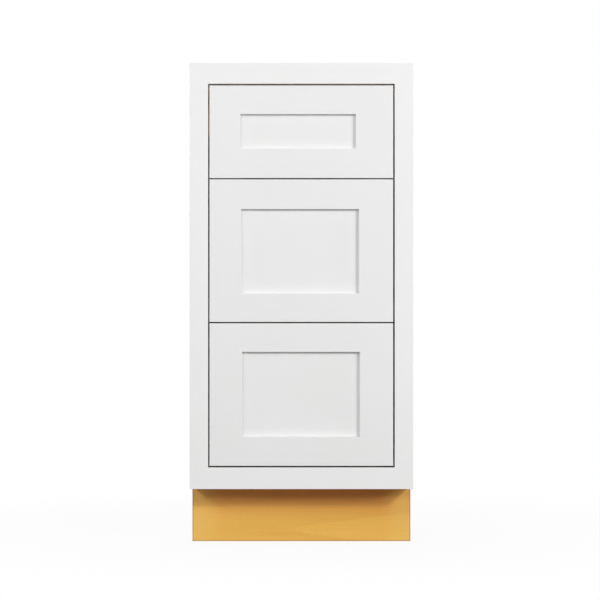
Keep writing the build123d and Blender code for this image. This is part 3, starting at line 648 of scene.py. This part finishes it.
def ply_board(node, thin, grain, wood=MAPLE, outside=None, veneer=None, thickness=None):
    """A plywood board: thin is the axis of its thickness, grain that of its face veneer.

    A given thickness is counted down from the upper side, and what lies below it is a batten.
    """
    low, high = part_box(node)
    thickness = thickness or high[thin] - low[thin]
    underside = high[thin] - thickness
    nearest = min(abs(low[thin]), abs(high[thin])) if thin == X else underside
    count = max(3, 2 * round(thickness / PLY / 2) + 1)
    face_veneer = veneer or maple(f"veneer_{node}", grain, wood)
    edge = plies(f"plies_{node}", thin, nearest, thickness, count, wood)
    materials = [face_veneer, edge] + ([outside] if outside else [])
    outward = math.copysign(1, low[thin])

    def facing(face):
        if not looks_along(face, thin):
            return EDGE if face.center[thin] > underside else VENEER
        return OUTSIDE if outside and face.normal[thin] * outward > 0 else VENEER

    placed(f"{node}_plywood", welded(node), materials, [node], BOARD_EASE, facing=facing)
    print(node, "has", count, "plies")


side_paint = white_paint("paint_sides", FRAME_WHITE)
ply_board("left_side_panel", X, Z, outside=side_paint)
ply_board("right_side_panel", X, Z, outside=side_paint)
for board, thin, grain in CARCASS_BOARDS:
    ply_board(board, thin, grain)
low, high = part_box("rear_stretcher")
ply_board("front_stretcher", Z, X, thickness=high[Z] - low[Z])

# %% [markdown]
# ## The toe kick
#
# The toe kick is a strip of the same plywood with a golden stain, and its grain runs along its
# length. High up, under the frame, its colour is darker and redder: that is painted shade, where
# the frame's overhang shades it. Near the open ends less of that shade is painted and the colour
# is paler, which is painted light from the sides. Along its ends and its lower edge it is darker
# and greyer. One function adds all of this to the colour of the veneer, by how high a place is
# and how far it is from the ends, so the painted shade and light stay on the board under any lamp.

# %% Toe kick
GOLDEN = ((0.90, 0.525, 0.108, 1), (0.80, 0.425, 0.076, 1))
GOLDEN_SHINE = 0.3
PAINTED_SHADE_ABOVE = (0.03, 0.092)  # heights between which the painted shade under the frame sets in
PAINTED_LIGHT_WITHIN = (0.01, 0.06)  # how far in from its open ends the painted light reaches, at any height
PAINTED_SHADE_AT_ENDS = 0.6  # the share of the painted shade that is left at the ends
PAINTED_SHADE_TINT = (0.93, 0.68, 0.74, 1)  # painted shade: what the stain is multiplied by high up
PAINTED_LIGHT_TINT = (0.95, 0.66, 0.20, 1)  # painted light: what the colour turns towards at the open ends
PAINTED_LIGHT_SHARE = 0.25
RIM_TINT = (0.70, 0.69, 0.95, 1)  # what it is multiplied by along its rims
RIM_WITHIN = (1.6 * MM, 2.6 * MM)  # of its ends and its lower edge


def painted_kick_light_and_shade(nodes, place, colour):
    """Paints shade high up under the frame and light at the open ends, and darkens the rims."""
    across = nodes.add("ShaderNodeSeparateXYZ", Vector=place)
    height = across.part("Z")
    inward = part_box("toe_kick_board")[1][X] - abs(across)
    beyond_lit_ends = inward.between(*PAINTED_LIGHT_WITHIN)
    # Painted shade: darker and redder high up, under the frame, with less of it at the open ends.
    painted_shade = height.between(*PAINTED_SHADE_ABOVE) * (PAINTED_SHADE_AT_ENDS + (1 - PAINTED_SHADE_AT_ENDS) * beyond_lit_ends)
    colour = nodes.mix(painted_shade, colour, PAINTED_SHADE_TINT, "MULTIPLY")
    # Painted light: paler towards the open ends, where light from the sides comes in.
    colour = nodes.mix(PAINTED_LIGHT_SHARE * (1 - beyond_lit_ends), colour, PAINTED_LIGHT_TINT)
    # Darker and greyer along the ends and the lower edge.
    rim = 1 - inward.math("MINIMUM", height).between(*RIM_WITHIN)
    return nodes.mix(rim, colour, RIM_TINT, "MULTIPLY")


# The toe kick's veneer carries painted shade under the frame and painted light at its ends.
kick_veneer = maple("veneer_toe_kick", X, GOLDEN, shine=GOLDEN_SHINE, painted_shading=painted_kick_light_and_shade)
ply_board("toe_kick_board", Y, X, GOLDEN, veneer=kick_veneer)
print("toe kick, deeper in colour above", PAINTED_SHADE_ABOVE[0], "m")

# %% [markdown]
# ## Slide spacers
#
# The frame's opening is narrower than the box behind it, so a strip of solid maple packs each
# slide out. All six strips ride on the cabinet, so they stay one piece. The faces that look to
# the front and to the back are end grain.

# %% Spacers
spacer_woods = [maple("maple_spacers", Y, MAPLE), end_grain("end_grain_spacers", Y, MAPLE)]
placed(
    "slide_spacer_strips", welded("slide_spacers"), spacer_woods, ["slide_spacers"], BOARD_EASE,
    facing=lambda face: int(looks_along(face, Y)),
)
print("six spacers")

# %% [markdown]
# ## Drawer boxes
#
# The boxes are solid maple with half-blind dovetails. The rim is rounded over, where hands go, and
# the joints are left tight, with only the hair's breadth of rounding that sanding gives. A weight
# by height does both at once. Each board's end grain shows on the faces across its length: between
# two tails, the ends of the front board look darker, and that makes the joint readable.

# %% Boxes
BOX_MAPLE = ((0.735, 0.545, 0.335, 1), (0.610, 0.415, 0.215, 1))
BOX_BOARDS = (("front", X), ("back", X), ("left_side", Y), ("right_side", Y))  # with their grain
RIM_EASE = 2.2 * MM
RIM_ZONE = 0.5 * MM  # how far below the top of its board an edge is still on the rim
JOINT_SHARE = 0.08  # of the rim's rounding

box_woods = {}
for grain, way in ((X, "across"), (Y, "along")):
    box_woods[grain] = [
        maple(f"box_maple_{way}", grain, BOX_MAPLE, rings=6.0, spread=11.0),
        end_grain(f"box_end_grain_{way}", grain, BOX_MAPLE),
    ]
bottom_veneer = maple("box_bottom_veneer", Y, BOX_MAPLE)


def box_board(node, grain):
    """A board of a drawer box, with a round rim and tight joints."""
    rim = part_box(node)[1][Z] - RIM_ZONE
    placed(
        f"{node}_board", welded(node), box_woods[grain], [node], RIM_EASE,
        weight_of=lambda middle: 1.0 if middle.z > rim else JOINT_SHARE,
        facing=lambda face: int(looks_along(face, grain)),
    )


for drawer in DRAWERS:
    for board, grain in BOX_BOARDS:
        box_board(f"{drawer}_box_{board}", grain)
    dressed(f"{drawer}_box_bottom_board", f"{drawer}_box_bottom", bottom_veneer, BOARD_EASE)

# %% [markdown]
# ## Slides, dampers, clips and levers
#
# Each slide has three members of folded sheet. Their corners are bends, not sharp, so both the
# inside and the outside of every fold is rounded. The clips and the squeeze levers under the front
# of a box are moulded, and so are the damper housings.

# %% Slides and their fittings
SHEET_EASE = 0.5 * MM
MOULDED_EASE = 0.4 * MM
DAMPER_EASE = 1.2 * MM
CLIP_GREY = (0.135, 0.14, 0.15, 1)
LEVER_GREY = (0.36, 0.37, 0.385, 1)
DAMPER_GREY = (0.42, 0.43, 0.445, 1)

slide_zinc = zinc("zinc_slides")
clip_nylon = moulded("nylon_clips", CLIP_GREY)
lever_nylon = moulded("nylon_levers", LEVER_GREY)
damper_nylon = moulded("nylon_dampers", DAMPER_GREY)

dressed("cabinet_rails", "cabinet_slide_rails", slide_zinc, SHEET_EASE)
dressed("damper_housings", "soft_close_dampers", damper_nylon, DAMPER_EASE)
for drawer in DRAWERS:
    for fitting, material, ease in (
        ("slide_carriages", slide_zinc, SHEET_EASE),
        ("drawer_rails", slide_zinc, SHEET_EASE),
        ("release_clips", clip_nylon, MOULDED_EASE),
        ("left_release_lever", lever_nylon, MOULDED_EASE),
        ("right_release_lever", lever_nylon, MOULDED_EASE),
    ):
        dressed(f"{drawer}_{fitting}_finished", f"{drawer}_{fitting}", material, ease)
    print(drawer, "slides, clips and levers")

# %% [markdown]
# ## Trees for what repeats
#
# Ribs and screws repeat, so Geometry Nodes make them. Every tree here takes a geometry, a few
# named sizes and a material. It ends by making its copies real and giving them the material, and
# what it makes is kept as a plain mesh, which needs no tree any more.


# %% Geometry Nodes trees
def new_tree(name, sizes):
    """A tree with named inputs, given with their kinds, and the node that holds them."""
    tree = bpy.data.node_groups.new(name, "GeometryNodeTree")
    for label, kind in {"Geometry": "Geometry", **sizes, "Material": "Material"}.items():
        tree.interface.new_socket(label, in_out="INPUT", socket_type=f"NodeSocket{kind}")
    tree.interface.new_socket("Geometry", in_out="OUTPUT", socket_type="NodeSocketGeometry")
    nodes = Nodes(tree)
    return tree, nodes, nodes.add("NodeGroupInput")


def finish_tree(nodes, given, copies):
    """Ends a tree: real geometry, in the given material."""
    real = nodes.add("GeometryNodeRealizeInstances", Geometry=copies)
    finished = nodes.add("GeometryNodeSetMaterial", Geometry=real, Material=given.part("Material"))
    nodes.add("NodeGroupOutput", Geometry=finished)


def made_by(tree, mesh, sizes):
    """What a tree makes of a mesh, as a plain mesh."""
    source = add_object("source", mesh)
    modifier = source.modifiers.new(tree.name, "NODES")
    modifier.node_group = tree
    for item in tree.interface.items_tree:
        if item.in_out == "INPUT" and item.name in sizes:
            modifier[item.identifier] = sizes[item.name]
    made = applied(source)
    bpy.data.objects.remove(source)
    return made


def shade_by_angle(mesh):
    """Smooth shading, apart from the sharp edges."""
    mesh.polygons.foreach_set("use_smooth", [True] * len(mesh.polygons))
    mesh.set_sharp_from_angle(angle=SHARP)


print("trees for ribs and screws can be built")

# %% [markdown]
# ## Ribs on the grips
#
# The grip of each lever has upright ribs where a finger presses it. They could be modelled one by
# one, but a small tree spaces them evenly between two points, and the same tree serves all six
# levers. The finger side is the largest upright face that looks inboard.

# %% Ribs
RIB_COUNT = 8
RIB_SIDES = 12
RIB_RADIUS = 0.55 * MM
RIB_INSET = 3.0 * MM  # from the ends of the finger face
RIB_SIZES = {"First": "Vector", "Last": "Vector", "Count": "Int", "Radius": "Float", "Height": "Float"}


def rib_tree():
    """Upright ribs, evenly spaced from a first place to a last one."""
    tree, nodes, given = new_tree("ribs", RIB_SIZES)
    line = nodes.add(
        "GeometryNodeMeshLine", {"mode": "END_POINTS"}, Count=given.part("Count"),
        Start_Location=given.part("First"), Offset=given.part("Last"),
    )
    rib = nodes.add(
        "GeometryNodeMeshCylinder", {"fill_type": "NGON"}, "Mesh", Vertices=RIB_SIDES,
        Side_Segments=1, Radius=given.part("Radius"), Depth=given.part("Height"),
    )
    finish_tree(nodes, given, nodes.add("GeometryNodeInstanceOnPoints", Points=line, Instance=rib))
    return tree


def finger_face(mesh):
    """The ends of the largest upright face that looks inboard, at half height, and its height."""
    inboard = -1 if mesh.vertices[0].co.x > 0 else 1
    faces = [face for face in mesh.polygons if abs(face.normal.z) < 0.1]
    faces = [face for face in faces if face.normal.x * inboard > 0.5]
    largest = max(faces, key=lambda face: face.area)
    places = [mesh.vertices[index].co for index in largest.vertices]
    low, high = min(place.z for place in places), max(place.z for place in places)
    first, last = [max(places, key=lambda place: place.y * way).copy() for way in (-1, 1)]
    first.z = last.z = (low + high) / 2
    return first, last, high - low


rib_nodes = rib_tree()
for drawer in DRAWERS:
    for side in ("left", "right"):
        lever = f"{drawer}_{side}_release_lever"
        first, last, height = finger_face(welded(lever))
        inset = (last - first).normalized() * RIB_INSET
        ribs = made_by(rib_nodes, bpy.data.meshes.new("ribs"), {
            "First": first + inset, "Last": last - inset, "Count": RIB_COUNT, "Radius": RIB_RADIUS,
            "Height": height - 2 * MOULDED_EASE, "Material": lever_nylon,
        })
        shade_by_angle(ribs)
        ride_with(add_object(f"{lever}_ribs", ribs), lever)
    print(drawer, "ribs over", round((last - first).length / MM, 1), "mm")

# %% [markdown]
# ## The parts of a screw
#
# There are fifty-eight screws of two kinds: pan heads that clamp sheet or plastic, and countersunk
# heads that lie flush in the spacers. Both are one design with other sizes: a head with a crossed
# recess, and a low dome if it is a pan head, a shank with a tapered tip, and a thread that winds
# along it. Each part is a few nodes in one function. The screw points down, with the top of its
# head at zero.

# %% Head, recess, shank and thread
HEAD_SIDES = 24
DOME_RINGS = 4
TOP_TOLERANCE = 0.01 * MM
RECESS_REACH = 1.15  # how long each slot of the cross is, in radii of the head
SHANK_SIDES = 16
CORE_SHARE = 0.76  # of the shank's radius, and the thread is the rest
TIP_LENGTH = 2  # in radii of the shank
TIP_SHARE = 0.2  # of the core's radius, at the very end
PLAIN_LENGTH = 1  # in radii of the shank, between the head and the thread
THREAD_SINK = 0.98  # of the core's radius, so that the ridge is sunk into it
THREAD_STEPS = 12  # for each turn


def moved(nodes, mesh, z):
    """A mesh moved up by a number or a socket."""
    place = nodes.add("ShaderNodeCombineXYZ", Z=z)
    return nodes.add("GeometryNodeTransform", Geometry=mesh, Translation=place)


def screw_head(nodes, given):
    """A cone from the neck up to the head's full radius, with its top drawn up into a low dome."""
    radius, height, dome = given.part("Head Radius"), given.part("Head Height"), given.part("Dome")
    head = nodes.add(
        "GeometryNodeMeshCone", {"fill_type": "NGON"}, "Mesh", Vertices=HEAD_SIDES,
        Side_Segments=1, Fill_Segments=DOME_RINGS, Radius_Top=radius,
        Radius_Bottom=given.part("Neck Radius"), Depth=height - dome,
    )
    head = moved(nodes, head, -1 * height)
    x = nodes.add("ShaderNodeSeparateXYZ", Vector=nodes.add("GeometryNodeInputPosition"))
    y, z = x.part("Y"), x.part("Z")
    reach = (x * x + y * y) / (radius * radius)
    on_top = z.math("GREATER_THAN", -1 * dome - TOP_TOLERANCE)
    rise = nodes.add("ShaderNodeCombineXYZ", Z=dome * (1 - reach) * on_top)
    return nodes.add("GeometryNodeSetPosition", Geometry=head, Offset=rise)


def cross_cutter(nodes, given):
    """Two crossed blades that cut the recess."""
    width, reach = given.part("Recess Width"), given.part("Head Radius") * RECESS_REACH
    blades = []
    for x, y in ((reach, width), (width, reach)):
        size = nodes.add("ShaderNodeCombineXYZ", X=x, Y=y, Z=given.part("Recess Depth") * 2)
        blades.append(nodes.add("GeometryNodeMeshCube", output="Mesh", Size=size))
    return nodes.add(
        "GeometryNodeMeshBoolean", {"operation": "UNION", "solver": "EXACT"}, "Mesh", Mesh_2=blades,
    )


def screw_shank(nodes, given):
    """The core of the screw, a little thinner than its thread, with a tapered tip."""
    length, head = given.part("Length"), given.part("Head Height")
    core = given.part("Shank Radius") * CORE_SHARE
    tip = given.part("Shank Radius") * TIP_LENGTH
    body = nodes.add(
        "GeometryNodeMeshCylinder", {"fill_type": "NGON"}, "Mesh", Vertices=SHANK_SIDES,
        Side_Segments=1, Radius=core, Depth=length - head - tip,
    )
    body = moved(nodes, body, -0.5 * (length + head - tip))
    point = nodes.add(
        "GeometryNodeMeshCone", {"fill_type": "NGON"}, "Mesh", Vertices=SHANK_SIDES,
        Side_Segments=1, Radius_Top=core, Radius_Bottom=core * TIP_SHARE, Depth=tip,
    )
    return nodes.add("GeometryNodeJoinGeometry", Geometry=[body, moved(nodes, point, -1 * length)])


def thread(nodes, given):
    """A three-sided ridge that winds along the shank, from its tip to just under the head."""
    length, shank = given.part("Length"), given.part("Shank Radius")
    core = shank * CORE_SHARE
    run = length - given.part("Head Height") - shank * (TIP_LENGTH + PLAIN_LENGTH)
    spiral = nodes.add(
        "GeometryNodeCurveSpiral", Resolution=THREAD_STEPS, Rotations=run / given.part("Pitch"),
        Start_Radius=core * THREAD_SINK, End_Radius=core * THREAD_SINK, Height=run,
    )
    profile = nodes.add(
        "GeometryNodeCurvePrimitiveCircle", output="Curve", Resolution=3, Radius=shank - core,
    )
    ridge = nodes.add(
        "GeometryNodeCurveToMesh", Curve=spiral, Profile_Curve=profile, Fill_Caps=True,
    )
    return moved(nodes, ridge, -1 * (length - shank * TIP_LENGTH))


print("a screw has a head, a recess, a shank and a thread")

# %% [markdown]
# ## The screw tree
#
# Geometry Nodes make all the screws from one tree. A point stands for each screw, with the
# direction that its head faces. The tree builds one screw and stands a copy on every point, each
# turned by a random amount, because nobody drives fifty-eight screws to the same angle.

# %% The screw tree
ROLL_SEED = 4
SCREW_SIZES = (
    "Head Radius", "Head Height", "Neck Radius", "Dome", "Shank Radius", "Length", "Pitch",
    "Recess Width", "Recess Depth",
)


def screw_tree():
    """A screw on every point, along the point's facing."""
    tree, nodes, given = new_tree("screws", dict.fromkeys(SCREW_SIZES, "Float"))
    head = nodes.add(
        "GeometryNodeMeshBoolean", {"operation": "DIFFERENCE", "solver": "EXACT"}, "Mesh",
        Mesh_1=screw_head(nodes, given), Mesh_2=[cross_cutter(nodes, given)],
    )
    screw = nodes.add(
        "GeometryNodeJoinGeometry",
        Geometry=[head, screw_shank(nodes, given), thread(nodes, given)],
    )
    facing = nodes.add(
        "GeometryNodeInputNamedAttribute", {"data_type": "FLOAT_VECTOR"}, Name="facing",
    )
    upright = nodes.add("FunctionNodeAlignRotationToVector", {"axis": "Z"}, Vector=facing)
    roll = nodes.add(
        "FunctionNodeRandomValue", {"data_type": "FLOAT"}, Max_001=math.tau, Seed=ROLL_SEED,
    )
    rolled = nodes.add(
        "FunctionNodeRotateRotation", {"rotation_space": "LOCAL"}, Rotation=upright,
        Rotate_By=nodes.add("FunctionNodeAxisAngleToRotation", Axis=(0, 0, 1), Angle=roll),
    )
    copies = nodes.add(
        "GeometryNodeInstanceOnPoints", Points=given, Instance=screw, Rotation=rolled,
    )
    finish_tree(nodes, given, copies)
    return tree


screw_nodes = screw_tree()
print("screw tree with", len(screw_nodes.nodes), "nodes")

# %% [markdown]
# ## Where the screws are
#
# Each CAD screw is one loose part of its node. Its longest side is its axis, and its head is at
# the end where its points lie furthest from that axis. That is enough to place and size the
# finished screw.

# %% Measuring screws
HEAD_SLICE = 0.05 * MM

Screw = namedtuple("Screw", "face facing length radius")  # face is the middle of its head's top


def corners(points):
    low = Vector(min(point[axis] for point in points) for axis in (X, Y, Z))
    high = Vector(max(point[axis] for point in points) for axis in (X, Y, Z))
    return low, high


def middle_of(points):
    low, high = corners(points)
    return (low + high) / 2


def loose_parts(mesh):
    """The points of each separate shell of a mesh, always in the same order."""
    shape = bmesh.new()
    shape.from_mesh(mesh)
    waiting = set(shape.verts)
    parts = []
    while waiting:
        reached = [waiting.pop()]
        for vertex in reached:
            for edge in vertex.link_edges:
                other = edge.other_vert(vertex)
                if other in waiting:
                    waiting.remove(other)
                    reached.append(other)
        parts.append([vertex.co.copy() for vertex in reached])
    shape.free()
    return sorted(parts, key=lambda points: tuple(round(value, 5) for value in middle_of(points)))


def measured(points):
    """A CAD screw's head, direction and sizes, from its points."""
    low, high = corners(points)
    size = high - low
    middle = (low + high) / 2
    axis = max((X, Y, Z), key=lambda each: size[each])
    across = [each for each in (X, Y, Z) if each != axis]

    def widest(at):
        near = [point - middle for point in points if abs(point[axis] - at) < HEAD_SLICE]
        return max(math.hypot(*(point[each] for each in across)) for point in near)

    at_low, at_high = widest(low[axis]), widest(high[axis])
    face = middle.copy()
    face[axis] = high[axis] if at_high > at_low else low[axis]
    facing = Vector((0, 0, 0))
    facing[axis] = 1 if at_high > at_low else -1
    return Screw(face, facing, size[axis], max(at_low, at_high))


print("a screw is known by", ", ".join(Screw._fields))

# %% [markdown]
# ## Finished screws
#
# Apart from its length, all sizes of a screw follow from the radius of its head, and the thread is
# coarse, as it has to be in wood. The screws of one node are made length by length, because one
# run of the tree gives one length, and they are kept as one piece.

# %% Making screws
HEAD_HEIGHT_SHARE = 0.5  # of the radius of the head, as the next ones are
SHANK_SHARE = 0.5
DOME_SHARE = 0.2
RECESS_WIDTH_SHARE = 0.24
RECESS_DEPTH_SHARE = 0.3
THREAD_PITCH = 1.8 * MM


def made_screws(screws, material, countersunk):
    """A mesh of finished screws that share one length."""
    mesh = bpy.data.meshes.new("screw_points")
    mesh.from_pydata([screw.face for screw in screws], [], [])
    facing = mesh.attributes.new("facing", "FLOAT_VECTOR", "POINT")
    facing.data.foreach_set("vector", [value for screw in screws for value in screw.facing])
    radius = screws[0].radius
    return made_by(screw_nodes, mesh, {
        "Head Radius": radius,
        "Head Height": radius * HEAD_HEIGHT_SHARE,
        "Neck Radius": radius * SHANK_SHARE if countersunk else radius,
        "Dome": 0.0 if countersunk else radius * DOME_SHARE,
        "Shank Radius": radius * SHANK_SHARE,
        "Length": screws[0].length,
        "Pitch": THREAD_PITCH,
        "Recess Width": radius * RECESS_WIDTH_SHARE,
        "Recess Depth": radius * RECESS_DEPTH_SHARE,
        "Material": material,
    })


def replace_screws(node, material, countersunk=False):
    """Finished screws in the place of a node's plain ones, as one piece."""
    by_length = {}
    for points in loose_parts(welded(node)):
        screw = measured(points)
        by_length.setdefault(round(screw.length, 4), []).append(screw)
    shape = bmesh.new()
    for screws in by_length.values():
        shape.from_mesh(made_screws(screws, material, countersunk))
    mesh = bpy.data.meshes.new(node)
    shape.to_mesh(mesh)
    shape.free()
    mesh.materials.append(material)
    shade_by_angle(mesh)
    piece = add_object(f"{node}_finished", mesh)
    ride_with(piece, node)
    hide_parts(node)
    kinds = {f"{round(length / MM)} mm": len(screws) for length, screws in sorted(by_length.items())}
    print(node, kinds, "and", len(mesh.polygons), "faces")


screw_zinc = zinc("zinc_screws")
replace_screws("slide_screws", screw_zinc)
replace_screws("spacer_screws", screw_zinc, countersunk=True)
for drawer in DRAWERS:
    replace_screws(f"{drawer}_drawer_screws", screw_zinc)

# %% [markdown]
# ## Floor and sky
#
# The cabinet stands on a white studio floor that runs out of sight. The camera and mirror-like
# reflections see the floor and the sky as almost pure white. Close to the cabinet the floor still
# shows some of the light that falls on it, so the soft shadow stays, and further out that share
# fades to nothing, so no horizon shows.

# %% Floor and sky
FLOOR_SIZE = 40.0
FLOOR_GREY = (0.3, 0.3, 0.3, 1)  # what it throws back at the cabinet
FLOOR_WHITE = (0.9, 0.9, 0.9, 1)  # what the camera sees of it where light falls on it
WHITE = (1, 1, 1, 1)
SHADOW_SHARE = 0.07  # how much of the floor's look is real light, close to the cabinet
SHADOW_REACH = (0.35, 1.1)  # metres from the origin between which that share fades
SKY_STRENGTH = 0.2


def seen_directly(nodes):
    """1 for rays from the camera, off metal or through glass, 0 for light that falls on things."""
    ray = nodes.add("ShaderNodeLightPath", output="Is Camera Ray")
    seen = ray.math("MAXIMUM", ray.part("Is Glossy Ray"))
    return seen.math("MAXIMUM", ray.part("Is Transmission Ray"))


def studio_floor():
    """A square that is lit near the cabinet and plain white further out."""
    mesh = bpy.data.meshes.new("floor")
    half = FLOOR_SIZE / 2
    points = [(-half, -half, 0), (half, -half, 0), (half, half, 0), (-half, half, 0)]
    mesh.from_pydata(points, [], [(0, 1, 2, 3)])
    floor = add_object("floor", mesh)
    material, nodes, place = new_material("studio_floor")
    away = nodes.add("ShaderNodeVectorMath", {"operation": "LENGTH"}, "Value", Vector=place)
    share = SHADOW_SHARE * (1 - away.between(*SHADOW_REACH))
    seen = seen_directly(nodes)
    lit = nodes.add("ShaderNodeBsdfDiffuse", Color=nodes.mix(seen, FLOOR_GREY, FLOOR_WHITE))
    white = nodes.add("ShaderNodeEmission", Color=WHITE, Strength=1.0)
    shown = nodes.add("ShaderNodeMixShader", Fac=seen * (1 - share), Shader=lit, Shader_001=white)
    nodes.add("ShaderNodeOutputMaterial", Surface=shown)
    mesh.materials.append(material)


def studio_sky():
    """An even sky that lights weakly and looks white."""
    world = bpy.data.worlds.new("studio")
    bpy.context.scene.world = world
    world.use_nodes = True
    world.node_tree.nodes.clear()
    nodes = Nodes(world.node_tree)
    strength = SKY_STRENGTH + (1 - SKY_STRENGTH) * seen_directly(nodes)
    sky = nodes.add("ShaderNodeBackground", Color=WHITE, Strength=strength)
    nodes.add("ShaderNodeOutputWorld", Surface=sky)


studio_floor()
studio_sky()
print("floor of", FLOOR_SIZE, "m and a sky of strength", SKY_STRENGTH)

# %% [markdown]
# ## Lamps
#
# Four soft lamps stand in an arc in front of the cabinet, all of them low. The key is thirty
# degrees to the right and fifteen above: it draws the soft shadow inside each recess's right edge,
# the thin dark line along its top and the frame's shadow on the toe kick. A narrow lamp near the
# camera's left draws the fine line at each recess's left edge. Two wide ones keep the shadows open.
# Two weak lamps at the sides shine in at the toe kick's open ends. The one overhead stands behind
# the front, so it lights open drawers but neither the front nor the ledges of its recesses. A lamp
# behind does the rest. The level is plain: a surface shows about the colour it has.

# %% Lamps
AIM = (0, 0, 0.7)  # what most lamps face, high up in the cabinet
AIM_AT_BACK = (0, 0.3, 0.5)


def softbox(name, place, target, size, watts):
    """A rectangular area lamp that faces a target."""
    lamp = add_object(name, bpy.data.lights.new(name, "AREA"))
    lamp.data.shape = "RECTANGLE"
    lamp.data.size, lamp.data.size_y = size
    lamp.data.energy = watts
    lamp.location = place
    lamp.rotation_euler = (Vector(target) - Vector(place)).to_track_quat("-Z", "Y").to_euler()
    lamp.visible_camera = False
    print(name, watts, "W")


softbox("key_right", (2.27, -3.93, 1.92), AIM, (0.9, 0.5), 74)
softbox("wide_right", (3.11, -3.46, 1.35), AIM, (1.4, 0.7), 32)
softbox("near_left", (-1.59, -4.37, 1.35), AIM, (0.8, 0.7), 35)
softbox("wide_left", (-2.94, -3.26, 2.38), AIM, (1.4, 0.7), 31)
softbox("side_left", (-3.9, -1.2, 1.1), AIM, (1.4, 1.0), 19)
softbox("side_right", (3.9, -1.2, 1.1), AIM, (1.4, 1.0), 19)
softbox("behind", (-0.9, 4.0, 1.1), AIM_AT_BACK, (2.4, 0.9), 85)
softbox("overhead", (0.0, 0.9, 3.4), AIM, (1.5, 1.0), 22)
bpy.context.scene.view_settings.view_transform = "Standard"
